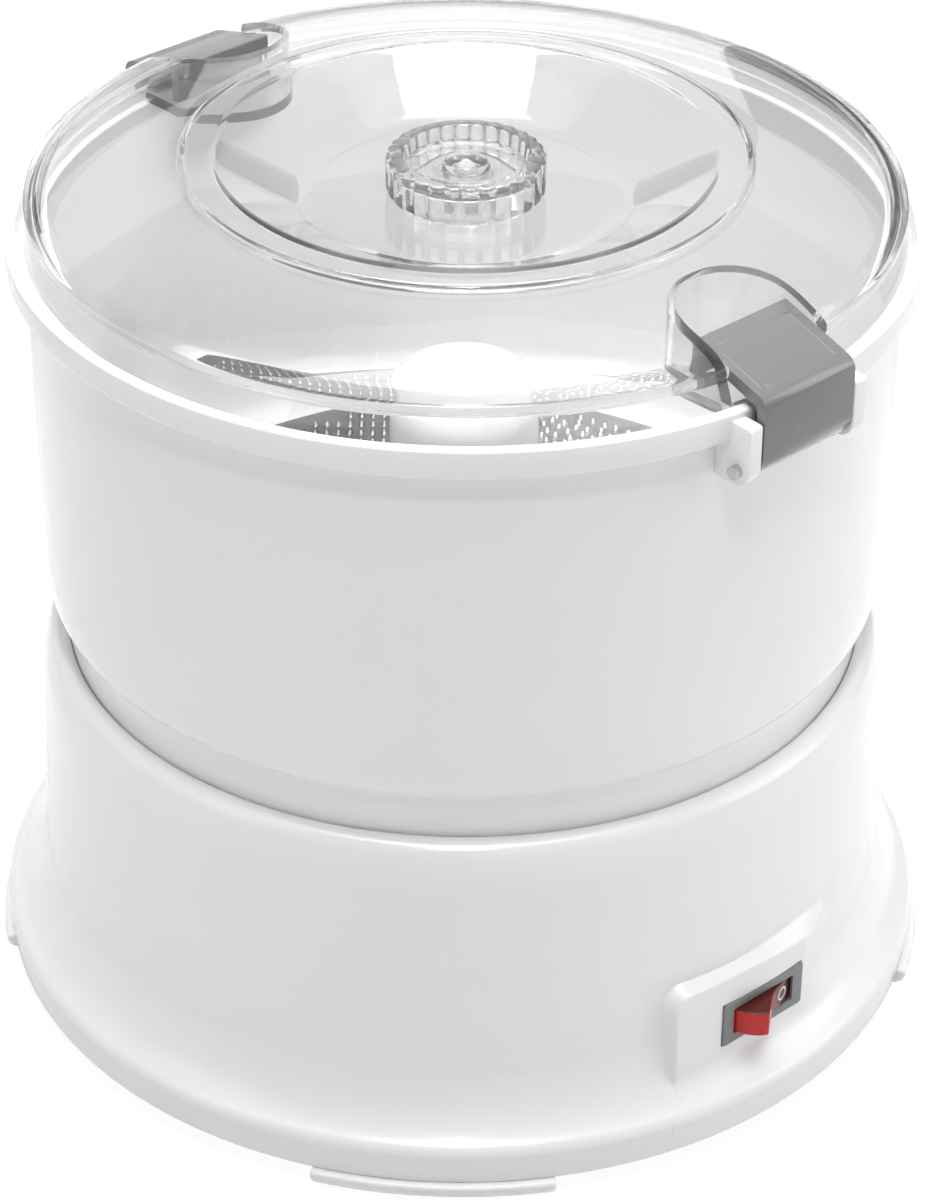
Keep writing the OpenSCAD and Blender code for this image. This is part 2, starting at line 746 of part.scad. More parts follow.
module motor_brushes() {
    color("black") translate([motor_at[0], motor_at[1], 0]) for (s = [0, 180]) rotate(s)
        translate([commutator_r + 0.3, -brush_size[1] / 2, commutator_z + 0.7]) cube(brush_size);
}

module motor_screws() {
    color("silver") for (s = [-1, 1]) translate([0, 0, 2 * gear_plate_top]) mirror([0, 0, 1])
        screw(motor_screw(s), small_screw_r, small_head_r, small_head_h, gear_plate_top,
            gear_plate_t + can_wall);
}

module motor_shaft() {
    color("silver") post(motor_at, motor_shaft_r, can_low_z - cap_t - shaft_tail,
        pinion_z + pinion_face + can_h - can_top_z + cap_t + shaft_tail);
}

module motor_armature() {
    color("peru") translate([motor_at[0], motor_at[1], 0])
        ring(can_r - can_wall - magnet_t - air_gap, motor_shaft_r, armature_z,
            can_h - armature_low - armature_high);
}

module motor_commutator() {
    color("chocolate") translate([motor_at[0], motor_at[1], 0])
        ring(commutator_r, motor_shaft_r, commutator_z, commutator_h);
}

module motor_pinion() {
    color("goldenrod") translate([motor_at[0], motor_at[1], pinion_z]) difference() {
        rotate(motor_dir + 180 + 180 / pinion_teeth) spur(pinion_teeth, fast_module, pinion_face);
        translate([0, 0, -1]) cylinder(r = motor_shaft_r, h = pinion_face + 2);
    }
}

module idler_axle() {
    color("silver") post(idler_at, idler_axle_r, gear_plate_z, deck_z - gear_plate_z);
}

module idler_gear() {
    color("ivory") translate([idler_at[0], idler_at[1], 0]) difference() {
        union() {
            translate([0, 0, idler_low_z]) cylinder(r = idler_hub_r, h = idler_large_z - idler_low_z + 1);
            translate([0, 0, idler_large_z]) rotate(motor_dir) spur(large_teeth, fast_module, large_face);
            translate([0, 0, idler_large_z + large_face - 1]) rotate(idler_dir + 180 + 180 / small_teeth)
                spur(small_teeth, slow_module, idler_small_top - idler_large_z - large_face + 1);
        }
        cylinder(r = idler_axle_r + run_c, h = 2 * deck_z);
    }
}

module output_gear() {
    groove_in = output_hub_r + 3;
    groove_out = slow_module * output_teeth / 2 - rim_t;
    color("ivory") difference() {
        union() {
            translate([0, 0, output_z]) rotate(idler_dir) spur(output_teeth, slow_module, output_face);
            post([0, 0], output_hub_r, output_hub_z, output_hub_top - output_hub_z);
        }
        ring(groove_out, groove_in, output_z - 1, (output_face - web_t) / 2 + 1);
        ring(groove_out, groove_in, output_z + (output_face + web_t) / 2, output_face);
        cylinder(r = spindle_r, h = 2 * deck_z);
    }
}

module drive_spindle() {
    color("silver") difference() {
        post([0, 0], spindle_r, spindle_low_z, head_top_z - 1 - spindle_low_z);
        ring(spindle_r + 1, spindle_r - clip_groove, clip_z, clip_t);
    }
}

module spindle_clip() {
    color("dimgray") difference() {
        ring(spindle_r + 2, spindle_r - clip_groove, clip_z, clip_t);
        translate([0, -clip_slot / 2, clip_z - 1]) cube([2 * spindle_r, clip_slot, clip_t + 2]);
    }
}

module thrust_washer() {
    color("silver") ring(output_hub_r - 1, spindle_r, washer_z, washer_t);
}

module lower_bush() {
    color("peru") ring(bush_r, spindle_r + run_c, bush_low_z, bush_high_z - bush_low_z);
}

module upper_bush() {
    color("peru") ring(upper_bush_r, spindle_r + run_c, upper_bush_z, upper_bush_h);
}

module shaft_seal() {
    color("black") ring(upper_bush_r, spindle_r + run_c, tower_z - seal_h, seal_h);
}

module drive_coupling() {
    color("dimgray") difference() {
        translate([0, 0, head_z]) cylinder(d = hex_af / cos(30), h = head_top_z - head_z, $fn = 6);
        translate([0, 0, head_z - 1]) cylinder(r = spindle_r, h = head_top_z - head_z);
    }
}

// Pieces of the circuit board, set out from its middle
module on_board() {
    translate([board_at[0], board_at[1], plate_top_z + standoff_h]) rotate(board_dir) children();
}

module circuit_board() {
    color("seagreen") difference() {
        on_board() {
            translate([-board_l / 2, -board_w / 2, 0]) cube([board_l, board_w, board_t]);
            for (s = [-1, 1]) translate([s * (board_l / 2 - board_screw_in), 0, -standoff_h])
                cylinder(r = standoff_r, h = standoff_h);
        }
        on_board() for (s = [-1, 1]) translate([s * (board_l / 2 - board_screw_in), 0, -standoff_h - 1])
            cylinder(r = small_screw_r, h = standoff_h + board_t + 2);
    }
}

module board_screws() {
    color("silver") on_board() for (s = [-1, 1])
        translate([s * (board_l / 2 - board_screw_in), 0, board_t]) {
        cylinder(r = small_head_r, h = small_head_h);
        translate([0, 0, -board_t - standoff_h]) cylinder(r = small_screw_r, h = board_t + standoff_h);
    }
}

module suppressor() {
    color("gold") on_board() translate([-10, 1.5, board_t]) cube([20, 8, 14]);
}

module rectifier() {
    color("black") on_board() translate([-8, -8, board_t]) cube([16, 4.5, 10]);
}

module bowl() {
    fillet = 10;
    color("white") difference() {
        union() {
            rotate_extrude() polygon(concat(
                [[foot_ring_r - bowl_wall, seat_z], [foot_ring_r, seat_z], [foot_ring_r, lip_z]],
                curve([foot_ring_r + 0.9, crease_z], [bowl_low_r - 0.6, crease_z + 0.22 * round_h],
                    [bowl_low_r, bowl_round_z], 8),
                [[bowl_top_r, rim_z - rim_band], [rim_r - 0.5, rim_z - rim_band],
                 [rim_r, rim_z - rim_band + 0.5], [rim_r, rim_z - 0.6], [rim_r - 0.6, rim_z],
                 [channel_r, rim_z], [channel_r, channel_z],
                 [bowl_top_r - bowl_wall, channel_z]],
                curve([bowl_low_r - bowl_wall, bowl_round_z],
                    [bowl_low_r - bowl_wall - 0.5, bowl_floor_z + 0.3 * fillet],
                    [bowl_low_r - bowl_wall - fillet, bowl_floor_z], 6),
                [[tube_r, bowl_floor_z], [tube_r, tube_z], [tube_in_r, tube_z],
                 [tube_in_r, bowl_floor_z - bowl_wall],
                 [foot_ring_r - bowl_wall, bowl_floor_z - bowl_wall]]));
            for (side = [0, 180], s = [-1, 1]) rotate(side) latch_lug(s);
            for (i = [0:keys - 1], s = [-1, 1]) rotate(90 + 360 / keys * i)
                translate([rib_in_r, s * (key_w / 2 + gap) + (s < 0 ? -bowl_wall : 0), seat_z + 1])
                    cube([foot_ring_r - bowl_wall - rib_in_r + 1, bowl_wall,
                        bowl_floor_z - bowl_wall - seat_z]);
        }
        for (side = [0, 180]) rotate(side) translate([-2 * latch_w, -pivot_r, pivot_z]) rotate([0, 90, 0])
            cylinder(r = pin_r, h = 4 * latch_w);
    }
}

// One lug on the -Y side, to the left (s = -1) or right (s = 1) of the latch
module latch_lug(s) {
    translate([s > 0 ? lug_x : -lug_x - lug_w, 0, 0]) rotate([90, 0, 90]) linear_extrude(lug_w)
        polygon(concat(
            [[-lug_in_r, channel_z - 0.5], [-lug_in_r, pivot_z - lug_round]],
            arc([-pivot_r, pivot_z], lug_round, 270, 209, 4),
            [[-latch_out_r, pivot_z + 2], [-latch_out_r, lug_top_z], [-channel_r - 0.4, lug_top_z],
             [-channel_r - 0.4, channel_z - 0.5]]));
}

module latch_pin() {
    length = 2 * (lug_x + lug_w);
    translate([-length / 2, -pivot_r, pivot_z]) rotate([0, 90, 0]) cylinder(r = pin_r, h = length);
}

module latch_pin_front() {
    color("dimgray") latch_pin();
}

module latch_pin_back() {
    color("dimgray") rotate(180) latch_pin();
}

module disc_carrier() {
    color("whitesmoke") {
        difference() {
            union() {
                ring(disc_r - 0.5, carrier_tube_in, carrier_z, carrier_t);
                ring(carrier_tube_r, carrier_tube_in, carrier_z, collar_z - carrier_z);
                for (i = [0:rib_n - 1]) rotate(360 / rib_n * (i + 0.5))
                    translate([carrier_tube_in + 0.5, -rib_t / 2, carrier_z - rib_h])
                        cube([disc_r - carrier_tube_in - 10, rib_t, rib_h + 1]);
            }
            for (i = [0:hub_screw_n - 1])
                post(hub_screw(i), small_screw_r + 0.15, carrier_z - 1, carrier_t + 2);
        }
    }
}

module grater_disc() {
    color("silver") difference() {
        ring(disc_r, carrier_tube_r + 0.1, disc_z - sheet_t, sheet_t);
        for (i = [0:hub_screw_n - 1])
            post(hub_screw(i), small_screw_r + 0.15, disc_z - sheet_t - 1, sheet_t + 2);
    }
}

module hub_column() {
    dome = curve([hub_r, socket_top_z - 1.5], [hub_r, hub_z], [0, hub_z], 8);
    color("white") difference() {
        union() {
            rotate_extrude() polygon(concat(
                [[hub_in_r, disc_z], [hub_flange_r, disc_z], [hub_flange_r, disc_z + hub_flange_t],
                 [hub_r, disc_z + hub_flange_t]],
                dome, [[0, socket_top_z], [hub_in_r, socket_top_z]]));
            post([0, 0], socket_r, head_z - 1, socket_top_z - head_z + 1 + eps);
        }
        translate([0, 0, head_z - 2])
            cylinder(d = (hex_af + 2 * hex_c) / cos(30), h = head_top_z + gap - head_z + 2, $fn = 6);
        for (i = [0:hub_screw_n - 1])
            post(hub_screw(i), small_screw_r, disc_z - 1, 1 + hub_screw_bite);
    }
}

module hub_screws() {
    color("silver") for (i = [0:hub_screw_n - 1])
        screw(hub_screw(i), small_screw_r, small_head_r, small_head_h,
            carrier_z, carrier_t + sheet_t + hub_screw_bite);
}

// Upper face of the lid, from the axis out and down to its foot
function lid_top() = concat(
    [[0, dish_z], [dish_r, dish_z], [ring_in_r, ring_z - 0.4], [ring_in_r + 1, ring_z],
     [ring_out_r - 1, ring_z], [ring_out_r, ring_z - 0.3], [ring_out_r + 0.9, ring_z - 1.2]],
    curve([ring_out_r + 0.9, ring_z - 1.2], [lid_r - 13, ring_z - 2.4], [lid_r - 0.7, lid_z + 0.6], 8),
    [[lid_r, lid_z], [lid_r, lid_z - 1.6], [lid_r - 0.6, lid_z - 2.4], [lid_foot_r, channel_z + 2.1],
     [lid_foot_r, channel_z]]);

// Lower face, from the foot back in to the axis
function lid_under() = concat(
    [[lid_foot_r - lid_t, channel_z], [lid_r - 0.6 - lid_t, lid_z - 2.8]],
    curve([lid_r - 0.9 - lid_t, lid_z - 1], [lid_r - 14, ring_z - 2.4 - lid_t],
        [ring_out_r + 0.3, ring_z - 1.2 - lid_t], 8),
    [[ring_out_r - 0.7, ring_z - lid_t], [ring_in_r + 0.7, ring_z - lid_t], [dish_r + 0.8, dish_z - lid_t],
     [0, dish_z - lid_t]]);

// Plan of the recess for the front latch, widened by a margin
module recess_plan(hw) {
    translate([0, -recess_r]) circle(r = hw);
    translate([-hw, -recess_r - 2 * recess_hw]) square([2 * hw, 2 * recess_hw]);
}

module recess_pocket() {
    intersection() {
        union() {
            translate([0, 0, channel_z]) linear_extrude(recess_floor - channel_z) recess_plan(recess_hw);
            translate([0, 0, channel_z]) difference() {
                linear_extrude(recess_tall) recess_plan(recess_hw);
                translate([0, 0, -1]) linear_extrude(recess_tall + 2) recess_plan(recess_hw - recess_wall);
            }
        }
        rotate_extrude() polygon(concat(lid_top(), [[0, channel_z]]));
    }
}

module lid() {
    color("aliceblue", 0.35) {
        difference() {
            rotate_extrude() polygon(concat(lid_top(), lid_under()));
            for (side = [0, 180]) rotate(side)
                translate([0, 0, channel_z - 5]) linear_extrude(recess_tall)
                    recess_plan(recess_hw - recess_wall / 2);
            translate([0, 0, dish_z - 2 * lid_t]) cylinder(r = knob_screw_r + screw_fit, h = 4 * lid_t);
        }
        for (side = [0, 180]) rotate(side) recess_pocket();
    }
}

module lid_knob() {
    color("aliceblue", 0.35) difference() {
        union() {
            translate([0, 0, dish_z]) cylinder(r = knob_r - 0.8, h = knob_h - 1.2);
            translate([0, 0, dish_z + 1]) cylinder(r = knob_r, h = knob_h - 1);
        }
        for (i = [0:flutes - 1])
            post(ring_point(knob_r + 0.35, 360 / flutes * i), flute_r, dish_z - 1, knob_h - 0.2);
        ring(knob_dish_r, knob_boss_r, knob_dish_z, knob_h);
        translate([0, 0, dish_z + knob_h - 1]) cylinder(r = knob_dish_r, h = knob_h);
        ring(knob_r - 0.8 - knob_wall, knob_boss_r, dish_z - 1, knob_dish_z - dish_z + 1 - knob_web);
        translate([0, 0, dish_z - 1]) cylinder(r = knob_screw_r, h = knob_dish_z - dish_z);
    }
}

module knob_screw() {
    color("silver") screw([0, 0], knob_screw_r, knob_screw_head_r, knob_screw_head_h, dish_z - lid_t,
        lid_t + knob_dish_z - dish_z - 1.5);
}

// Section of a latch: distance from the axis against height
function latch_outline() = concat(
    [[latch_in_r, latch_in_z], [latch_out_r - 2.2, latch_out_z + 0.7], [latch_out_r - 0.5, latch_out_z - 0.4],
     [latch_out_r, latch_out_z - 2]],
    curve([latch_out_r, pivot_z + 5.5], [latch_out_r, pivot_z - 1],
        [pivot_r + 0.8, pivot_z - barrel_r + 0.1], 6),
    [[pivot_r - 1, pivot_z], [pivot_r + 1, pivot_z + 3.2], [latch_out_r - latch_t, pivot_z + 5.5],
     [latch_out_r - latch_t, latch_out_z - latch_t + 0.6], [latch_in_r + latch_t, latch_in_z - latch_t - 0.8],
     [latch_in_r + latch_t, hook_z], [latch_in_r, hook_z]]);

module latch() {
    difference() {
        union() {
            translate([-latch_w / 2, 0, 0]) rotate([90, 0, 90]) mirror([1, 0, 0])
                linear_extrude(latch_w) polygon(latch_outline());
            translate([-latch_w / 2, -pivot_r, pivot_z]) rotate([0, 90, 0])
                cylinder(r = barrel_r, h = latch_w);
        }
        translate([-latch_w, -pivot_r, pivot_z]) rotate([0, 90, 0])
            cylinder(r = pin_r + run_c, h = 2 * latch_w);
    }
}

module latch_front() {
    color("darkgray") latch();
}

module latch_back() {
    color("darkgray") rotate(180) latch();
}

base_housing();
bottom_plate();
feet();
plate_screws();
cord_gland();
switch_body();
switch_terminals();
rocker();
gear_plate();
gear_plate_screws();
motor_can();
motor_magnets();
motor_end_cap();
motor_bushes();
motor_brushes();
motor_screws();
motor_shaft();
motor_armature();
motor_commutator();
motor_pinion();
idler_axle();
idler_gear();
output_gear();
drive_spindle();
thrust_washer();
spindle_clip();
lower_bush();
upper_bush();
shaft_seal();
drive_coupling();
circuit_board();
board_screws();
suppressor();
rectifier();
bowl();
latch_pin_front();
latch_pin_back();
disc_carrier();
grater_disc();
hub_column();
hub_screws();
lid();
lid_knob();
knob_screw();
latch_front();
latch_back();
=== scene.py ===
# %% [markdown]
# # Electric potato peeler
# The machine is a motor base, a bowl that lifts off it, a grater disc that spins
# in the bowl, and a clear lid that two latches hold down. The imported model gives
# every piece its place. Here each visible piece gets its rounded, moulded form,
# and every piece gets a finish.

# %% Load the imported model
import json
import math
import bmesh
import bpy
from mathutils import Matrix, Vector


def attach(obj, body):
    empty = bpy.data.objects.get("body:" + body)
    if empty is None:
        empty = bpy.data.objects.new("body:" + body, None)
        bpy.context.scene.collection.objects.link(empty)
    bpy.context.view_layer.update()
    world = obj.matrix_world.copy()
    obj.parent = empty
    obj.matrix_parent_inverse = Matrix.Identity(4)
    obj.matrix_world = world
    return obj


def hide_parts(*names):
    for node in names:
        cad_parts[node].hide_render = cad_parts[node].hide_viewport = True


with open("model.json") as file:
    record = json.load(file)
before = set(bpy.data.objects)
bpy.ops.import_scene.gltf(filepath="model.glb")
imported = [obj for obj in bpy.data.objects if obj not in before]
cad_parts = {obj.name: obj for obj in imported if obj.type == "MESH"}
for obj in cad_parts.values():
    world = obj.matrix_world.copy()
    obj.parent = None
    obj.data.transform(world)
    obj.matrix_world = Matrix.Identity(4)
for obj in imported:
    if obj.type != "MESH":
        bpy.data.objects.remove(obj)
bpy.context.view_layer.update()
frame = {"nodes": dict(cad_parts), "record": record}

# %% [markdown]
# ## Camera
# The camera looks down at the front left of the machine through a long lens, so
# that the round rims stay calm ellipses. It is turned a little about its own
# axis, as a camera held by hand is.

# %% Camera
scene = bpy.context.scene
camera = bpy.data.objects.new("camera", bpy.data.cameras.new("camera"))
camera.data.lens = 117.1
camera.data.sensor_width = 36.0
camera.data.clip_start = 0.05
camera.location = (-0.5548, -0.6168, 0.6387)
turned_by = [Matrix.Rotation(math.radians(angle), 3, axis)
             for angle, axis in ((-42.0, "Z"), (56.755, "X"), (0.45, "Z"))]
camera.rotation_euler = (turned_by[0] @ turned_by[1] @ turned_by[2]).to_euler()
scene.collection.objects.link(camera)
scene.camera = camera
scene.view_settings.view_transform = "Standard"
print("camera looks from", [round(value, 3) for value in camera.location])

# %% [markdown]
# ## Shader sums
# A shader is easier to read as a sum than as a web of nodes. Value wraps the
# output of a node, so that sums of values add their Math nodes, and Finish adds
# every other node through one method.

# %% Values and finishes
class Value:
    """The output of a node, ready for sums."""

    def __init__(self, finish, socket):
        self.finish, self.socket = finish, socket

    def sum(self, operation, *numbers):
        return self.finish.node("ShaderNodeMath", {"operation": operation}, dict(enumerate(numbers)))

    def __add__(self, other):
        return self.sum("ADD", self, other)

    def __sub__(self, other):
        return self.sum("SUBTRACT", self, other)

    def __mul__(self, other):
        return self.sum("MULTIPLY", self, other)

    def at_least(self, other):
        return self.sum("MAXIMUM", self, other)

    __radd__ = __add__
    __rmul__ = __mul__


class Finish:
    """A node tree that is written from its sums."""

    def __init__(self, tree, material=None):
        self.tree, self.material = tree, material
        tree.nodes.clear()

    def node(self, kind, settings=None, sockets=None, output=0):
        made = self.tree.nodes.new(kind)
        for name, value in (settings or {}).items():
            setattr(made, name, value)
        for name, value in (sockets or {}).items():
            if isinstance(value, Value):
                self.tree.links.new(value.socket, made.inputs[name])
            else:
                made.inputs[name].default_value = value
        return Value(self, made.outputs[output]) if len(made.outputs) else made

    def place(self):
        return self.node("ShaderNodeTexCoord", output="Object")

    def noise(self, scale, detail=2.0, rough=0.5, stretch=(1.0, 1.0, 1.0)):
        at = self.node("ShaderNodeMapping", {}, {"Vector": self.place(), "Scale": stretch})
        return self.node("ShaderNodeTexNoise", {},
                         {"Vector": at, "Scale": scale, "Detail": detail, "Roughness": rough})

    def mix(self, factor, first, second):
        return self.node("ShaderNodeMix", {"data_type": "RGBA"}, {0: factor, 6: first, 7: second}, 2)

    def bump(self, height, strength, distance):
        return self.node("ShaderNodeBump", {},
                         {"Height": height, "Strength": strength, "Distance": distance})

    def surface(self, shader):
        self.node("ShaderNodeOutputMaterial", {}, {"Surface": shader})
        return self.material


def new_finish(name):
    material = bpy.data.materials.new(name)
    material.use_nodes = True
    return Finish(material.node_tree, material)


def shade(colour, factor):
    return tuple(min(1.0, part * factor) for part in colour) + (1.0,)


print("finishes are written as sums of", Value.__name__)

# %% [markdown]
# ## Light and floor
# The machine stands on a pale floor between large soft lamps. The sky is plain
# white to the eye, to glass and to gloss, and the floor to the eye and to glass.
# The light that the two throw on the plastic stays lower, so that white plastic
# keeps its shading.

# %% World and floor
world = bpy.data.worlds.new("studio")
world.use_nodes = True
scene.world = world
sky = Finish(world.node_tree)
ray = {name: sky.node("ShaderNodeLightPath", output=name)
       for name in ("Is Camera Ray", "Is Glossy Ray", "Is Transmission Ray")}
seen = ray["Is Camera Ray"].at_least(ray["Is Glossy Ray"]).at_least(ray["Is Transmission Ray"])
level = sky.mix(seen, (0.2, 0.2, 0.205, 1.0), (1.0, 1.0, 1.0, 1.0))
sky.node("ShaderNodeOutputWorld", {}, {"Surface": sky.node("ShaderNodeBackground", {}, {"Color": level})})

floor_finish = new_finish("floor_finish")
ray = {name: floor_finish.node("ShaderNodeLightPath", output=name)
       for name in ("Is Camera Ray", "Is Transmission Ray", "Is Diffuse Ray")}
seen = ray["Is Camera Ray"].at_least(ray["Is Transmission Ray"])
matt = floor_finish.node("ShaderNodeBsdfDiffuse", {}, {"Color": (0.9, 0.9, 0.9, 1.0)})
glow = floor_finish.node("ShaderNodeEmission", {}, {"Color": (1.0, 1.0, 1.0, 1.0), "Strength": 1.04})
glow_share = seen * 0.9 + ray["Is Diffuse Ray"] * 0.4
floor_finish.surface(floor_finish.node("ShaderNodeMixShader", {}, {0: glow_share, 1: matt, 2: glow}))

grid = bmesh.new()
bmesh.ops.create_grid(grid, x_segments=1, y_segments=1, size=3.0)
floor_mesh = bpy.data.meshes.new("floor")
grid.to_mesh(floor_mesh)
floor = bpy.data.objects.new("floor", floor_mesh)
floor.data.materials.append(floor_finish.material)
scene.collection.objects.link(floor)
print("floor", [round(side, 2) for side in floor.dimensions])

# %% [markdown]
# Clear plastic needs something dark to mirror, or it looks like milk. Two black
# cards stand behind the machine for that. Only gloss and glass see them: they
# stay out of the background and take no light from the plastic.

# %% Black cards
card_finish = new_finish("card_finish")
card_finish.surface(card_finish.node("ShaderNodeBsdfDiffuse", {}, {"Color": (0.04, 0.04, 0.042, 1.0)}))


def black_card(name, first, last, low, high, away=0.9, strips=12):
    """A curved card round the origin, between two bearings in degrees."""
    form = bmesh.new()
    bearings = [math.radians(first + (last - first) * i / strips) for i in range(strips + 1)]
    foot_row, top_row = [[form.verts.new((away * math.cos(bearing), away * math.sin(bearing), height))
                          for bearing in bearings] for height in (low, high)]
    for i in range(strips):
        form.faces.new((foot_row[i], foot_row[i + 1], top_row[i + 1], top_row[i]))
    mesh = bpy.data.meshes.new(name)
    form.to_mesh(mesh)
    form.free()
    card = bpy.data.objects.new(name, mesh)
    card.data.materials.append(card_finish.material)
    scene.collection.objects.link(card)
    for kind in ("camera", "diffuse", "shadow", "volume_scatter"):
        setattr(card, "visible_" + kind, False)
    print(name, "stands from", first, "to", last, "degrees")


black_card("card_right", -15, 36, 0.02, 0.6)
black_card("card_left", 60, 96, 0.35, 0.56)

# %% [markdown]
# Three soft lamps light the plastic, the largest from above. A narrow lamp, a
# snoot, shines through the clear lid, because little of the soft light finds its
# way down into the bowl.

# %% Lamps
def softbox(name, at, aim, width, height, power):
    """A large soft lamp that faces a point."""
    lamp = bpy.data.objects.new(name, bpy.data.lights.new(name, "AREA"))
    lamp.data.shape = "RECTANGLE"
    lamp.data.size, lamp.data.size_y, lamp.data.energy = width, height, power
    lamp.location = at
    lamp.rotation_euler = (Vector(aim) - Vector(at)).to_track_quat("-Z", "Y").to_euler()
    scene.collection.objects.link(lamp)
    print(name, power, "W")
    return lamp


softbox("lamp_above", (0.0, 0.0, 1.7), (0, 0, 0.1), 1.1, 1.1, 36)
softbox("lamp_right", (1.15, -1.1, 0.85), (0, 0, 0.1), 0.9, 1.2, 7.5)
softbox("lamp_left", (-1.2, 0.4, 1.3), (0, 0, 0.15), 0.6, 1.2, 2)

snoot = bpy.data.objects.new("snoot", bpy.data.lights.new("snoot", "SPOT"))
snoot.data.energy, snoot.data.shadow_soft_size = 54.0, 0.12
snoot.data.spot_size, snoot.data.spot_blend = math.radians(9.2), 0.25
snoot.location = (-0.42, -0.466, 1.34)
lid_middle = Vector((0, 0, 0.212))
snoot.rotation_euler = (lid_middle - snoot.location).to_track_quat("-Z", "Y").to_euler()
scene.collection.objects.link(snoot)
print("snoot lights the inside of the bowl through the lid")

# %% [markdown]
# ## Moulded plastics
# Moulded plastic isn't one even colour: it clouds a little where it cooled
# slowly, its gloss varies, and its skin has a very fine texture. Three layers of
# noise give that, and each kind of plastic sets how strong they are.

# %% Finishes for plastic
def moulded(name, colour, gloss, cloud=0.02, skin=0.05, fixed=None):
    """A moulded plastic or rubber: faint clouds, uneven gloss and a fine skin."""
    finish = new_finish(name)
    clouds = finish.noise(32.0, 3.0)
    flow = finish.noise(160.0, 4.0, 0.6)
    grain = finish.noise(1500.0, 2.0)
    base = finish.mix(clouds, shade(colour, 1 - cloud), shade(colour, 1 + cloud))
    sockets = {"Base Color": base, "Roughness": (flow - 0.5) * (gloss * 0.5) + gloss,
               "Normal": finish.bump(grain, skin, 0.0002)}
    sockets.update(fixed or {})
    return finish.surface(finish.node("ShaderNodeBsdfPrincipled", {}, sockets))


white_plastic = moulded("white_plastic", (0.84, 0.842, 0.845), 0.2, 0.012, 0.03,
                        {"IOR": 1.5, "Coat Weight": 0.25, "Coat Roughness": 0.08})
# The hub is white plastic painted darker: painted shade that offsets the strong snoot light on it.
hub_white_painted_shade = moulded("hub_white_painted_shade", (0.64, 0.64, 0.64), 0.25, 0.012, 0.03)
disc_plastic = moulded("disc_plastic", (0.78, 0.78, 0.76), 0.32)
plate_plastic = moulded("plate_plastic", (0.7, 0.7, 0.69), 0.4)
grey_plastic = moulded("grey_plastic", (0.148, 0.151, 0.149), 0.25, 0.03, 0.06,
                       {"Coat Weight": 0.5, "Coat Roughness": 0.06})
bezel_plastic = moulded("bezel_plastic", (0.19, 0.195, 0.195), 0.42, 0.03, 0.12)
black_plastic = moulded("black_plastic", (0.018, 0.018, 0.02), 0.35, 0.1, 0.1)
gear_plastic = moulded("gear_plastic", (0.74, 0.72, 0.62), 0.4)
drive_plastic = moulded("drive_plastic", (0.05, 0.05, 0.055), 0.4, 0.1, 0.1)
foot_rubber = moulded("foot_rubber", (0.85, 0.84, 0.83), 0.4, 0.02, 0.1,
                      {"Subsurface Weight": 0.3, "Subsurface Radius": (0.003, 0.0027, 0.0024)})
grommet_rubber = moulded("grommet_rubber", (0.03, 0.03, 0.032), 0.6, 0.1, 0.2)
capacitor = moulded("capacitor", (0.62, 0.42, 0.08), 0.35, 0.04, 0.05)
board = moulded("board", (0.03, 0.17, 0.09), 0.35, 0.08, 0.05)
print("plastics:", len(bpy.data.materials))

# %% [markdown]
# ## Metals
# Rolled and turned metal shows fine streaks along the way it was worked. The
# noise is stretched one way for that, and it roughens the metal a little. The
# grater's teeth lie two ways, and one side of its sheet is painted darker:
# painted shade that stands in for the darker reflection that side shows.

# %% Finishes for metal
def worked_metal(name, colour, gloss, scale=900.0, stretch=(1.0, 1.0, 1.0), depth=0.05, metallic=1.0,
                 painted_shade_side=None):
    """Metal with the streaks of its rolling or turning, and painted shade towards one side if it is given a
    colour for that.
    """
    finish = new_finish(name)
    streaks = finish.noise(scale, 3.0, 0.6, stretch)
    stain = finish.noise(45.0, 3.0)
    base = finish.mix(stain, shade(colour, 0.9), shade(colour, 1.08))
    # Painted shade: the colour darkens towards one side of the sheet, in place of the darker reflection
    # there.
    if painted_shade_side:
        across, along = (finish.node("ShaderNodeSeparateXYZ", {}, {"Vector": finish.place()}, part)
                         for part in "XY")
        base = finish.mix(across * 9.0 - along * 8.0 + stain * 0.6 - 0.15, painted_shade_side, base)
    return finish.surface(finish.node("ShaderNodeBsdfPrincipled", {}, {
        "Base Color": base, "Metallic": metallic, "Roughness": streaks * (gloss * 0.6) + gloss * 0.7,
        "Normal": finish.bump(streaks, depth, 0.0001)}))


# The grater's darker side colour is painted shade.
grater_steel = worked_metal("grater_steel", (0.62, 0.61, 0.595), 0.34, 500.0, (1.0, 0.15, 1.0),
                            painted_shade_side=(0.13, 0.128, 0.126, 1.0))
screw_steel = worked_metal("screw_steel", (0.6, 0.6, 0.6), 0.3)
shaft_steel = worked_metal("shaft_steel", (0.56, 0.57, 0.58), 0.22, 1200.0, (1.0, 1.0, 0.1))
zinc_plate = worked_metal("zinc_plate", (0.62, 0.63, 0.64), 0.38, 260.0)
brass = worked_metal("brass", (0.78, 0.57, 0.25), 0.28)
bronze = worked_metal("bronze", (0.55, 0.35, 0.19), 0.42)
copper = worked_metal("copper", (0.78, 0.38, 0.24), 0.3, 700.0, (0.1, 1.0, 1.0))
ferrite = worked_metal("ferrite", (0.05, 0.05, 0.052), 0.6, metallic=0.2)
carbon = worked_metal("carbon", (0.03, 0.03, 0.03), 0.5, metallic=0.1)
print("finishes:", len(bpy.data.materials))

# %% [markdown]
# ## Clear and tinted plastic
# The lid and its knob are clear styrene. Light bends in it as in glass, and that
# draws the bright and dark lines along its edges. Lamp light is let straight
# through, because light that a lens gathers takes far too long to trace. A small
# share of what is seen goes straight too, so that edges that trap light don't
# turn black.

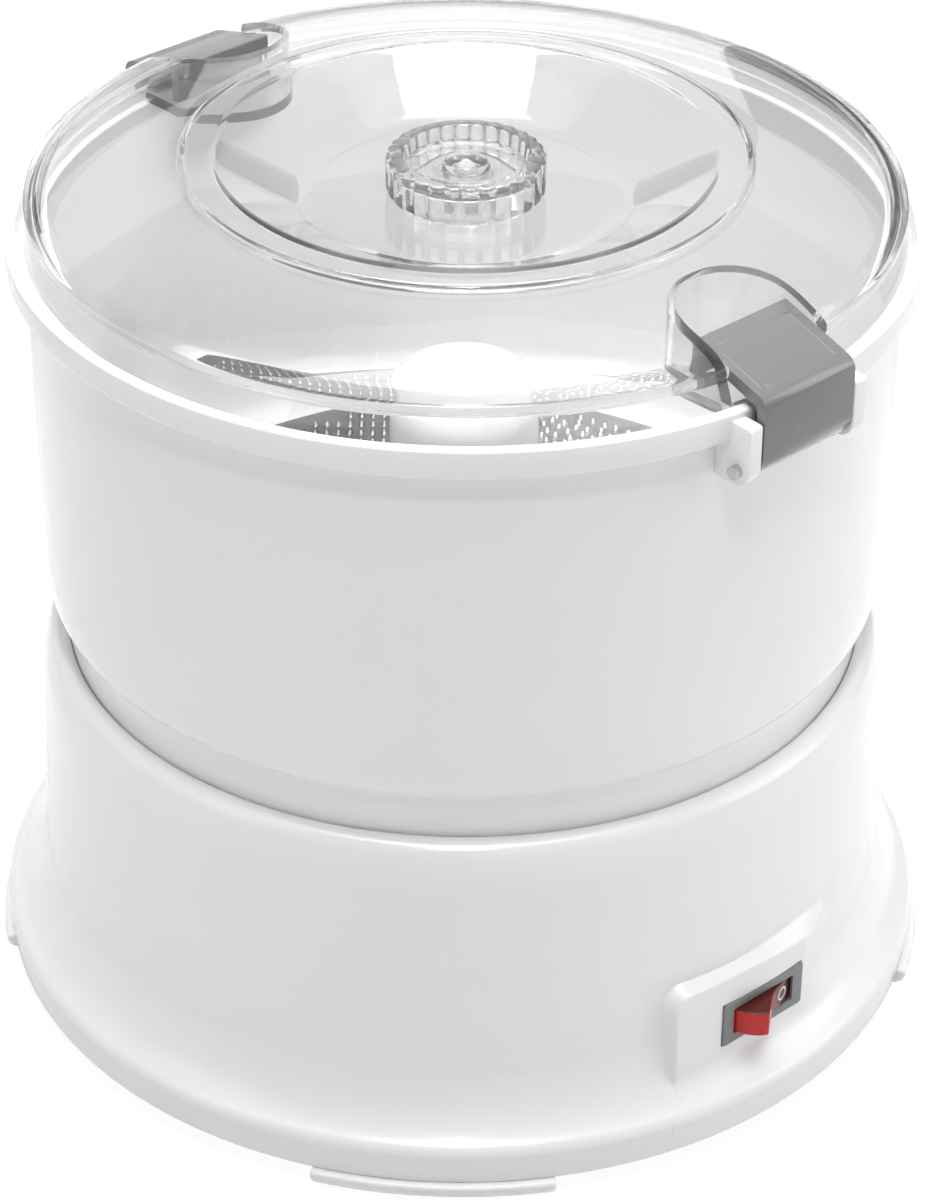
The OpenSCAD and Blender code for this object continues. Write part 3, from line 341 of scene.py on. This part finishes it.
# %% Finishes for clear plastic
def clear(name, colour, gloss, skin, bend, straight):
    """Clear plastic that bends what is seen through it, all but a small share, and lets lamp light pass."""
    finish = new_finish(name)
    grain = finish.noise(60.0, 2.0)
    flow = finish.noise(25.0, 2.0)
    glassy = finish.node("ShaderNodeBsdfPrincipled", {}, {
        "Base Color": finish.mix(flow, shade(colour, 0.985), shade(colour, 1.0)),
        "Roughness": grain * gloss, "Transmission Weight": 1.0, "IOR": bend,
        "Normal": finish.bump(grain, skin, 0.0003)})
    through = finish.node("ShaderNodeBsdfTransparent", {}, {"Color": (0.99, 0.99, 0.99, 1.0)})
    lamp = finish.node("ShaderNodeLightPath", output="Is Shadow Ray")
    bounce = finish.node("ShaderNodeLightPath", output="Is Diffuse Ray")
    return finish.surface(finish.node("ShaderNodeMixShader", {},
                                      {0: lamp.at_least(bounce).at_least(straight), 1: glassy, 2: through}))


clear_plastic = clear("clear_plastic", (0.994, 0.996, 0.998), 0.02, 0.02, 1.45, 0.08)


def red_painted_light_and_shade():
    """Red plastic with painted light on the rocker's left half, and painted shade on its right half and its
    top.
    """
    finish = new_finish("red_plastic")
    place = finish.place()
    across = finish.node("ShaderNodeSeparateXYZ", {}, {"Vector": place}, "X")
    height = finish.node("ShaderNodeSeparateXYZ", {}, {"Vector": place}, "Z")
    clouds = finish.noise(300.0, 3.0)
    # Painted light and shade: a bright red on the left half, a dark red on the right half.
    glow = finish.mix(clouds, (0.5, 0.012, 0.01, 1.0), (0.58, 0.018, 0.014, 1.0))
    painted_shade_red = finish.mix(clouds, (0.12, 0.014, 0.014, 1.0), (0.15, 0.018, 0.016, 1.0))
    colour = finish.mix(across * 220.0 + 0.1, glow, painted_shade_red)
    # Painted shade: the rocker's top, above 34.3 mm, is painted dark red.
    colour = finish.mix((height - 0.0343) * 4000.0, colour, (0.09, 0.004, 0.004, 1.0))
    return finish.surface(finish.node("ShaderNodeBsdfPrincipled", {}, {
        "Base Color": colour, "Roughness": clouds * 0.08 + 0.2, "Subsurface Weight": 0.2,
        "Subsurface Radius": (0.003, 0.0004, 0.0003), "Specular IOR Level": 0.35}))


red_plastic = red_painted_light_and_shade()
mark_white = moulded("mark_white", (0.8, 0.78, 0.78), 0.4)
print("finishes:", len(bpy.data.materials))

# %% [markdown]
# ## Tools for turned and extruded pieces
# Most pieces are turned or extruded. An outline is drawn in millimetres, each
# corner may be rounded while it is still a wire, and the outline is then spun
# about the axis or pulled straight. Rounding the outline first keeps the faces
# clean, and no edge of a moulded piece is left sharp.

# %% Draw an outline and round its corners
def outline(points, flat="XZ", closed=True):
    """A wire through (across, up, rounding) points on the XZ, YZ or XY plane, in mm."""
    wire = bmesh.new()
    corners = []
    for across, up, *_ in points:
        place = {"XZ": (across, 0.0, up), "YZ": (0.0, across, up), "XY": (across, up, 0.0)}[flat]
        corners.append(wire.verts.new(place))
    for first, second in zip(corners, corners[1:] + corners[:1] if closed else corners[1:]):
        wire.edges.new((first, second))
    for corner, (_, _, *soft) in zip(corners, points):
        if soft:
            bmesh.ops.bevel(wire, geom=[corner], offset=soft[0], affect="VERTICES",
                            segments=max(2, min(14, round(2 + 1.5 * soft[0]))), profile=0.5, material=-1)
    return wire


def leaning(first, toward, last, count):
    """Points of a calm curve from first to last that leans towards a third point."""
    points = []
    for step in range(1, count):
        t = step / count
        points.append(tuple((1 - t) ** 2 * a + 2 * t * (1 - t) * b + t * t * c
                            for a, b, c in zip(first, toward, last)))
    return points


def turned(points, steps=192, closed=True, around=360.0):
    """An outline on the XZ plane spun about the Z axis."""
    form = outline(points, closed=closed)
    whole = around >= 360.0
    bmesh.ops.spin(form, geom=form.verts[:] + form.edges[:], cent=(0, 0, 0), axis=(0, 0, 1),
                   dvec=(0, 0, 0), angle=math.radians(around), steps=steps, use_merge=whole)
    bmesh.ops.remove_doubles(form, verts=form.verts, dist=0.0005)
    bmesh.ops.dissolve_degenerate(form, dist=0.0001, edges=form.edges)
    bmesh.ops.recalc_face_normals(form, faces=form.faces)
    return form


def extruded(points, flat, pull, soft=0.0, segments=3):
    """A filled outline pulled straight, with its two rims rounded."""
    form = outline(points, flat)
    bmesh.ops.edgeloop_fill(form, edges=form.edges)
    rim = form.edges[:]
    pulled = bmesh.ops.extrude_face_region(form, geom=form.faces[:])
    far_end = [item for item in pulled["geom"] if isinstance(item, bmesh.types.BMVert)]
    bmesh.ops.translate(form, vec=pull, verts=far_end)
    if not any(len(edge.link_faces) == 1 for edge in form.edges):
        bmesh.ops.recalc_face_normals(form, faces=form.faces)
    if soft:
        along = Vector(pull).normalized()
        ends = [edge for edge in form.edges
                if abs((edge.verts[1].co - edge.verts[0].co).normalized().dot(along)) < 0.5
                and any(abs(face.normal.dot(along)) > 0.9 for face in edge.link_faces)]
        bmesh.ops.bevel(form, geom=ends, offset=soft, affect="EDGES", segments=segments, profile=0.5,
                        material=-1, clamp_overlap=True)
    return form


def block(size, at, soft=0.4, segments=2):
    """A box with rounded edges, centred on a point."""
    form = bmesh.new()
    bmesh.ops.create_cube(form, size=1.0)
    bmesh.ops.scale(form, vec=size, verts=form.verts)
    bmesh.ops.bevel(form, geom=form.edges[:], offset=soft, affect="EDGES", segments=segments,
                    profile=0.5, material=-1)
    bmesh.ops.translate(form, vec=at, verts=form.verts)
    return form


def moved(form, at=(0, 0, 0), turn=0.0, axis="Z"):
    """The same form, turned about an axis through the origin and then moved."""
    bmesh.ops.rotate(form, cent=(0, 0, 0), matrix=Matrix.Rotation(math.radians(turn), 3, axis),
                     verts=form.verts)
    bmesh.ops.translate(form, vec=at, verts=form.verts)
    return form


def joined(*forms):
    """Several forms gathered in one mesh."""
    for extra in forms[1:]:
        mesh = bpy.data.meshes.new("gathered")
        extra.to_mesh(mesh)
        forms[0].from_mesh(mesh)
        bpy.data.meshes.remove(mesh)
    return forms[0]


def finished(name, form, finish, body, slot, *nodes, crease=32.0):
    """Turns a form into a smooth piece in metres that rides on a body."""
    bmesh.ops.scale(form, vec=(0.001, 0.001, 0.001), verts=form.verts)
    mesh = bpy.data.meshes.new(name)
    form.to_mesh(mesh)
    form.free()
    mesh.shade_smooth()
    mesh.set_sharp_from_angle(angle=math.radians(crease))
    mesh.materials.append(finish)
    piece = bpy.data.objects.new(name, mesh)
    scene.collection.objects.link(piece)
    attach(piece, body)
    if nodes:
        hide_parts(*nodes)
    low = [min(corner[i] for corner in piece.bound_box) * 1000 for i in range(3)]
    high = [max(corner[i] for corner in piece.bound_box) * 1000 for i in range(3)]
    print(name, len(mesh.polygons), "faces,", [round(b - a, 1) for a, b in zip(low, high)], "mm")
    return piece


def carved(form, cutter, way="DIFFERENCE"):
    """The form after another one is cut out of it, kept with it or added to it."""
    made = []
    for shape in (form, cutter):
        mesh = bpy.data.meshes.new("shape")
        shape.to_mesh(mesh)
        shape.free()
        item = bpy.data.objects.new("shape", mesh)
        scene.collection.objects.link(item)
        made.append(item)
    work = made[0].modifiers.new("cut", "BOOLEAN")
    work.operation, work.object, work.solver = way, made[1], "EXACT"
    bpy.context.view_layer.update()
    result = made[0].evaluated_get(bpy.context.evaluated_depsgraph_get()).to_mesh()
    after = bmesh.new()
    after.from_mesh(result)
    made[0].evaluated_get(bpy.context.evaluated_depsgraph_get()).to_mesh_clear()
    for item in made:
        mesh = item.data
        bpy.data.objects.remove(item)
        bpy.data.meshes.remove(mesh)
    return after


# %% [markdown]
# ## Base housing
# The housing is one moulding: a flared foot, an upright drum, a round shoulder,
# and a seat with a tube that keeps water away from the spindle. Its outline
# goes once round the wall's outside and inside, so spinning it gives a closed wall.

# %% Base housing
outer_face = ([(118.8, 4.5, 0.35), (119.2, 14.1, 1.9), (116.9, 15.3)]
              + leaning((116.9, 15.3), (110.2, 19.4), (108.3, 30.0), 14)
              + [(108.3, 30.0), (106.6, 78.0), (106.4, 88.5, 4.0), (103.4, 94.2, 2.3), (100.6, 94.5)])
housing_wall = [(116.4, 4.5)] + outer_face + [
    (99.7, 94.5, 0.5), (99.7, 90.0, 0.5), (9.0, 90.0, 1.0), (9.0, 131.0, 0.6), (6.55, 131.0, 0.3),
    (6.55, 112.0), (5.4, 112.0), (5.4, 87.4), (97.7, 87.4, 2.0), (104.0, 76.0), (105.7, 30.0),
    (107.6, 16.5, 4.0), (116.4, 11.6, 1.5)]
housing = turned(housing_wall, 240)
housing = carved(housing, block((48.0, 14.0, 19.0), (0.0, -106.0, 31.2), 0.5))
housing = carved(housing, moved(turned([(0, 0), (6.1, 0), (6.1, 30), (0, 30)], 48), (0, 90, 43), -90, "X"))
inlet_boss = moved(turned([(6.1, 0), (11, 0), (11, 12.5, 0.8), (6.1, 12.5, 0.4)], 64), (0, 97, 43), -90, "X")
posts = [moved(turned([(1.7, 7), (4.2, 7, 0.3), (4.2, 87.6), (1.7, 87.6)], 32), (66.5 * a, 66.5 * b, 0))
         for a in (-1, 1) for b in (-1, 1)]
posts += [moved(turned([(1.7, 62), (4.2, 62, 0.3), (4.2, 87.6), (1.7, 87.6)], 32), (x, y, 0))
          for x, y in ((68.8, 38.8), (-10.8, 84.8), (-56.8, 5.2), (22.8, -40.8))]
keys = [moved(block((10.4, 8.0, 5.4), (91.2, 0, 92.3), 0.6), turn=90 + 120 * i) for i in range(3)]
finished("housing_shell", joined(housing, inlet_boss, *posts, *keys), white_plastic, "base",
         "white_plastic", "base_housing")

# %% [markdown]
# ## Switch panel
# The drum is round, but a switch needs a flatter face, so the moulding swells
# into a panel with soft edges. A fine grid is laid on the drum and pushed out
# inside a rounded rectangle. Its left edge is crisp, its right edge fades, and
# below it runs into the flare.

# %% Switch panel
def wall_reach(height):
    """Radius of the housing's outer face at a height, read off the rounded outline."""
    best = 0.0
    for first, second in zip(housing_edge, housing_edge[1:]):
        low, high = sorted((first[1], second[1]))
        if low <= height <= high and high > low:
            t = (height - first[1]) / (second[1] - first[1])
            best = max(best, first[0] + t * (second[0] - first[0]))
    return best


def gentle(amount):
    """Rises from 0 to 1 without a kink."""
    amount = max(0.0, min(1.0, amount))
    return amount * amount * (3 - 2 * amount)


def soft_max(first, second, blend):
    return 0.5 * (first + second + math.sqrt((first - second) ** 2 + blend * blend))


edge_wire = outline(outer_face, closed=False)
housing_edge = sorted(((v.co.x, v.co.z) for v in edge_wire.verts), key=lambda point: point[1])
edge_wire.free()
face_middle, bow = 111.2, 170.0
fade_from, fade_over = 13.8, 15.0
hole_side, hole_low, hole_high = 13.7, 24.8, 37.6
panel = bmesh.new()
bmesh.ops.create_grid(panel, x_segments=220, y_segments=140, size=1.0)
for vert in panel.verts:
    x, z = vert.co.x * 33.0, 29.0 + vert.co.y * 21.0
    drum_y = math.sqrt(wall_reach(z) ** 2 - x * x)
    face_y = face_middle - bow + math.sqrt(bow ** 2 - x * x)
    inside = 5.0 - math.hypot(max(abs(x) - 23.0, 0.0), max(z - 41.0, 0.0))
    lift = gentle(inside / (1.2 + 2.5 * gentle((x + 8.0) / 22.0)) + 0.4)
    reach = soft_max(face_y, drum_y, 0.8)
    stands_out = (reach - drum_y) * lift * (1.0 - gentle((x - fade_from) / fade_over))
    vert.co = Vector((x, -drum_y - stands_out - 0.03, z))
for point, normal in (((hole_side, 0, 0), (1, 0, 0)), ((-hole_side, 0, 0), (1, 0, 0)),
                      ((0, 0, hole_high), (0, 0, 1)), ((0, 0, hole_low), (0, 0, 1))):
    bmesh.ops.bisect_plane(panel, geom=panel.verts[:] + panel.edges[:] + panel.faces[:], dist=0.0001,
                           plane_co=point, plane_no=normal)
opening = [face for face in panel.faces if abs(face.calc_center_median().x) < hole_side
           and hole_low < face.calc_center_median().z < hole_high]
bmesh.ops.delete(panel, geom=opening, context="FACES")
behind = bmesh.ops.extrude_face_region(panel, geom=panel.faces[:])["geom"]
bmesh.ops.translate(panel, vec=(0, 1.8, 0), verts=[item for item in behind
                                                   if isinstance(item, bmesh.types.BMVert)])
bmesh.ops.recalc_face_normals(panel, faces=panel.faces)
finished("switch_panel", panel, white_plastic, "base", "white_plastic", crease=50)

# %% [markdown]
# ## Feet
# Four soft feet stand under the flare. Each is an arc of a turned block, and its
# ends are rounded like its lower edge.

# %% Feet
feet = []
for quarter in range(4):
    foot = turned([(102.9, 4.5), (102.9, 0.0, 1.2), (120.9, 0.0, 3.3), (120.9, 4.5, 0.9)], 24, around=28.8)
    ends = [edge for edge in foot.edges if len(edge.link_faces) == 1]
    bmesh.ops.holes_fill(foot, edges=ends)
    bmesh.ops.recalc_face_normals(foot, faces=foot.faces)
    rims = [edge for edge in foot.edges if any(len(face.verts) > 4 for face in edge.link_faces)
            and min(vert.co.z for vert in edge.verts) < 4.4]
    bmesh.ops.bevel(foot, geom=rims, offset=1.6, affect="EDGES", segments=4, profile=0.5, material=-1,
                    clamp_overlap=True)
    feet.append(moved(foot, turn=45 + 90 * quarter - 14.4))
finished("soft_feet", joined(*feet), foot_rubber, "base", "foot_rubber", "feet")

# %% [markdown]
# ## Bowl
# The bowl stands on a narrow ring, swells out over a crease and ends in a thick
# rim with a step that the lid drops into. Lugs beside each latch carry its pin.

# %% Bowl
bowl_wall = [(96.9, 90.0, 0.4), (99.6, 90.0, 0.4), (99.6, 94.5), (100.2, 105.8, 0.5), (103.6, 108.0, 3.0),
             (104.8, 117.0, 4.0), (105.2, 197.5, 0.8), (109.6, 197.5, 0.8), (110.0, 205.0, 0.7),
             (107.2, 205.0, 0.4), (107.2, 201.5, 0.3), (102.7, 201.5, 0.5), (102.2, 119.0),
             (101.6, 102.5, 10.0), (12.0, 102.5, 2.0), (12.0, 134.0, 0.5), (9.5, 134.0, 0.3),
             (9.5, 100.0), (96.9, 100.0, 0.5)]
bowl = turned(bowl_wall, 240)
lug_outline = [(-103.5, 201.0), (-103.5, 187.5, 0.3), (-114.2, 187.5, 4.8), (-114.2, 203.2, 1.0),
               (-107.6, 203.2, 0.3), (-107.6, 201.0)]
lugs = [moved(extruded(lug_outline, "YZ", (3.9, 0, 0), 0.6), (x, 0, 0)) for x in (14.6, -18.5) * 2]
for lug in lugs[2:]:
    moved(lug, turn=180)
finished("bowl_shell", joined(bowl, *lugs), white_plastic, "bowl_body", "white_plastic", "bowl")

# %% [markdown]
# ## Hub
# The white hub turns with the disc and keeps the potatoes off the middle.

# %% Hub
hub = turned([(15.1, 109.0), (23.0, 109.0), (23.0, 111.0, 0.6), (18.1, 111.0, 0.8), (18.0, 155.0),
              (18.0, 163.8, 8.4), (0.0, 163.8), (0.0, 158.0), (15.1, 158.0, 1.0)], 96)
socket = turned([(0.0, 136.0), (10.4, 136.0, 0.4), (10.4, 158.2), (0.0, 158.2)], 64)
socket = carved(socket, turned([(0.0, 130.0), (7.22, 130.0), (7.22, 150.3), (0.0, 150.3)], 6))
hub = joined(hub, socket)
# The hub's darker white is painted shade against the snoot's light.
finished("hub_cap", hub, hub_white_painted_shade, "disc", "white_plastic", "hub_column")

# %% [markdown]
# ## Grater disc
# The sheet is punched from below, which leaves hundreds of small raised teeth in
# rows. Each tooth here is a low cone of a few faces, pressed out of the sheet.
# On one half the rows are even, and on the other the teeth are scattered.

# %% Grater disc
sheet_under, sheet_top, sheet_edge = 108.2, 109.0, 93.5
teeth_from, teeth_to, row_gap = 25.5, 89.0, 3.0
sheet = turned([(15.0, sheet_under), (sheet_edge, sheet_under, 0.2), (sheet_edge, sheet_top, 0.2),
                (15.0, sheet_top)], 144)
teeth = bmesh.new()
count = 0
turn = math.radians(48.0)
for row in range(-30, 31):
    for place in range(-26, 27):
        along = row < 0
        across = row * row_gap + (0.0 if along else 0.9 * math.sin(place * 2.3 + row))
        down = place * (4.4 if along else 3.5) + (0.0 if along else 1.2 * math.sin(row * 3.7 + place))
        x = across * math.sin(turn) + down * math.cos(turn)
        y = -across * math.cos(turn) + down * math.sin(turn)
        if not teeth_from < math.hypot(x, y) < teeth_to:
            continue
        made = bmesh.ops.create_cone(teeth, cap_ends=True, segments=8, radius1=1.1, radius2=0.4, depth=1.0)
        bmesh.ops.scale(teeth, vec=(1.7 if along else 1.0, 1.0, 1.0), verts=made["verts"])
        bmesh.ops.rotate(teeth, cent=(0, 0, 0), matrix=Matrix.Rotation(turn, 3, "Z"), verts=made["verts"])
        bmesh.ops.translate(teeth, vec=(x, y, sheet_top + 0.45), verts=made["verts"])
        count += 1
print("teeth", count)
finished("grater_sheet", joined(sheet, teeth), grater_steel, "disc", "grater_steel", "grater_disc", crease=60)

# %% [markdown]
# ## Lid
# The lid is clear and thin: a skirt that sits in the bowl's rim, a domed shoulder,
# a raised ring, and a dish for the knob. Two pockets let the latches reach in.
# The lid is turned first, then the pockets are cut in and their walls added.

# %% Lid
lid_top = ([(38.5, 211.3, 3.0), (59.7, 222.6, 0.9), (67.3, 222.6, 0.7), (68.3, 221.3, 0.5)]
           + leaning((68.3, 221.3), (91.9, 220.2), (104.2, 213.7), 14)
           + [(104.2, 213.7), (104.9, 213.1, 0.3), (104.9, 211.4, 0.4), (104.3, 210.4, 0.5),
              (106.9, 203.4, 0.5), (106.9, 201.5, 0.4)])
lid_under = ([(104.7, 201.5, 0.4), (102.0, 210.4, 0.8)]
             + leaning((101.6, 211.9), (90.9, 218.0), (67.6, 219.0), 14)
             + [(67.6, 219.0), (66.5, 220.4, 0.4), (60.5, 220.4, 0.4), (39.3, 209.1, 2.6), (2.2, 209.1)])
lid_shell = turned([(2.2, 211.3)] + lid_top + lid_under, 192)
lid_solid = turned([(0.0, 211.3)] + lid_top + [(0.0, 201.5)], 192)


def pocket_plan(half_width, low, high):
    """A U-shaped block that opens outwards at the front, and one at the back."""
    middle, outer = -92.0, -125.0
    sides = []
    for turn in (0, 180):
        around = [(half_width * math.cos(math.radians(angle)),
                   middle + half_width * math.sin(math.radians(angle))) for angle in range(0, 181, 6)]
        plan = around + [(-half_width, outer), (half_width, outer)]
        sides.append(moved(extruded(plan, "XY", (0, 0, high - low)), (0, 0, low), turn))
    return joined(*sides)


lid = carved(lid_shell, pocket_plan(16.1, 190.0, 240.0))
lid = carved(lid, carved(lid_solid, pocket_plan(16.8, 195.0, 240.0), "INTERSECT"), "UNION")
lid = carved(lid, pocket_plan(15.4, 203.8, 240.0))
finished("lid_shell", lid, clear_plastic, "lid_body", "clear_plastic", "lid", crease=25)

# %% [markdown]
# ## Knob
# The knob is fluted for a wet hand and hollow below. The turned form has ten
# steps to a flute, and the outer skin is pulled in and out along them.

# %% Knob
flutes, flute_from = 28, 15.2
knob = turned([(2.0, 211.3), (5.1, 211.3, 0.3), (5.1, 216.4, 0.5), (14.4, 216.4, 0.6), (14.6, 211.3),
               (18.3, 211.3, 0.3), (19.1, 212.6, 0.5), (19.1, 221.0, 0.9), (15.0, 221.4, 0.6),
               (14.3, 218.0, 0.4), (5.4, 218.0, 0.5), (5.1, 219.6, 0.6), (0.0, 219.4), (0.0, 216.0),
               (2.0, 216.0)], flutes * 10)
for vert in knob.verts:
    reach = math.hypot(vert.co.x, vert.co.y)
    if reach > flute_from:
        angle = math.atan2(vert.co.y, vert.co.x)
        wave = 0.5 - 0.5 * abs(math.cos(flutes / 2 * angle)) ** 0.7
        pull = 1.0 - 1.5 * wave * gentle((reach - flute_from) / 3.0) / reach
        vert.co.x *= pull
        vert.co.y *= pull
finished("knob", knob, clear_plastic, "lid_body", "clear_plastic", "lid_knob", crease=40)

# %% [markdown]
# ## Latches
# Each latch is a bent plate: it reaches over the lid, hooks down inside the
# pocket, and turns on a pin between the lugs. Its outline is pulled sideways, and
# a low frame stands on its top for the thumb.

# %% Latches
def latch_form():
    section = [(-91.5, 215.3, 0.7), (-114.2, 208.7, 2.4), (-114.2, 187.7, 7.0), (-107.1, 187.7, 2.4),
               (-107.1, 194.8, 1.8), (-111.7, 196.6, 1.0), (-111.7, 206.3, 1.5), (-94.0, 211.7, 0.8),
               (-94.0, 204.1, 0.4), (-91.5, 204.1, 0.4)]
    plate = moved(extruded(section, "YZ", (28.4, 0, 0), 0.7, 3), (-14.2, 0, 0))
    frame_bars = [block((24.0, 0.9, 0.7), (0, 8.0 * end, 0), 0.2) for end in (-1, 1)]
    frame_bars += [block((0.9, 16.9, 0.7), (11.6 * end, 0, 0), 0.2) for end in (-1, 1)]
    return joined(plate, moved(joined(*frame_bars), (0, -103.0, 211.62), 16.2, "X"))


finished("latch_front_plate", latch_form(), grey_plastic, "front_latch", "grey_plastic", "latch_front")
finished("latch_back_plate", moved(latch_form(), turn=180), grey_plastic, "back_latch", "grey_plastic",
         "latch_back")

# %% [markdown]
# ## Switch
# The switch is a bought part: a grey frame, and a rocker of red plastic that
# light passes into. The rocker stands with its left half out, and its right
# half carries the ring that marks off. Its red has painted light on the left
# half and painted shade on the right half and the top.

# %% Switch frame
switch_at = (0.0, -108.755, 31.2)
plate = extruded([(-13.6, 24.9, 0.9), (13.6, 24.9, 0.9), (13.6, 37.5, 0.9), (-13.6, 37.5, 0.9)], "XZ",
                 (0, 0.8, 0), 0.2, 2)
frame_form = carved(moved(plate, (0, -111.355, 0)),
                    block((24.6, 16.0, 10.8), (0, -102.9, 31.2), 0.5), "UNION")
frame_form = carved(frame_form, block((20.4, 3.0, 7.6), (0, -111.0, 31.2), 0.4))
frame_form = carved(frame_form, block((22.6, 12.6, 8.4), (0, -104.3, 31.2), 0.3))
finished("switch_frame", frame_form, bezel_plastic, "base", "bezel_plastic", "switch_body")

# %% [markdown]
# The rocker tips on its middle. Seen from above it is a shallow V, and its two
# ends are arcs round the axis, so they pass the window's edges at every tilt.

# %% Rocker and its marks
reach, edge, wrap = 9.9, 53.0, 69.0
end_angles = [math.radians(edge + wrap * i / 9) for i in range(1, 10)]
end_arc = [(reach * math.sin(angle), -reach * math.cos(angle)) for angle in end_angles]
tip = (reach * math.sin(math.radians(edge)), -reach * math.cos(math.radians(edge)))
rocker_line = ([(-tip[0], tip[1], 0.35), (0.0, -4.28, 2.4), (tip[0], tip[1], 0.35)] + end_arc
               + [(3.0, 4.0, 0.5), (-3.0, 4.0, 0.5)] + [(-x, y) for x, y in reversed(end_arc)])
rocker_form = moved(extruded(rocker_line, "XY", (0, 0, 7.0), 0.35, 3), (0, 0, -3.5))
finished("rocker_cap", moved(moved(rocker_form, turn=27), switch_at), red_plastic, "rocker_body",
         "red_plastic", "rocker")
ring = moved(turned([(1.42, -0.1), (1.88, -0.1), (1.88, 0.05), (1.42, 0.05)], 48), turn=90, axis="X")
bar = block((0.5, 0.15, 3.6), (0, 0, 0), 0.05)
marks = joined(moved(ring, (4.6, -5.25, 0), -12), moved(bar, (-4.6, -5.25, 0), 12))
finished("rocker_marks", moved(moved(marks, turn=27), switch_at), mark_white, "rocker_body", "white_plastic")

# %% [markdown]
# ## Finishes for the pieces that keep their shape
# The pieces inside the base, and the pins and screws, already have their shape.
# Each one takes the finish of its material slot.

# %% Carried-over pieces
slot_finish = {
    "white_plastic": white_plastic, "disc_plastic": disc_plastic, "plate_plastic": plate_plastic,
    "foot_rubber": foot_rubber, "grommet_rubber": grommet_rubber, "bezel_plastic": bezel_plastic,
    "brass": brass, "red_plastic": red_plastic, "zinc_plate": zinc_plate, "screw_steel": screw_steel,
    "shaft_steel": shaft_steel, "ferrite": ferrite, "black_plastic": black_plastic, "carbon": carbon,
    "bronze": bronze, "copper": copper, "gear_plastic": gear_plastic, "drive_plastic": drive_plastic,
    "board": board, "capacitor": capacitor, "grater_steel": grater_steel, "clear_plastic": clear_plastic,
    "grey_plastic": grey_plastic}
slot_of = {part["node"]: part["material_slot"] for part in frame["record"]["subparts"]}
for name, node in frame["nodes"].items():
    finish = slot_finish[slot_of[name]]
    for place in node.material_slots:
        place.material = finish
    if not node.material_slots:
        node.data.materials.append(finish)
print("dressed", len(frame["nodes"]), "packed pieces")
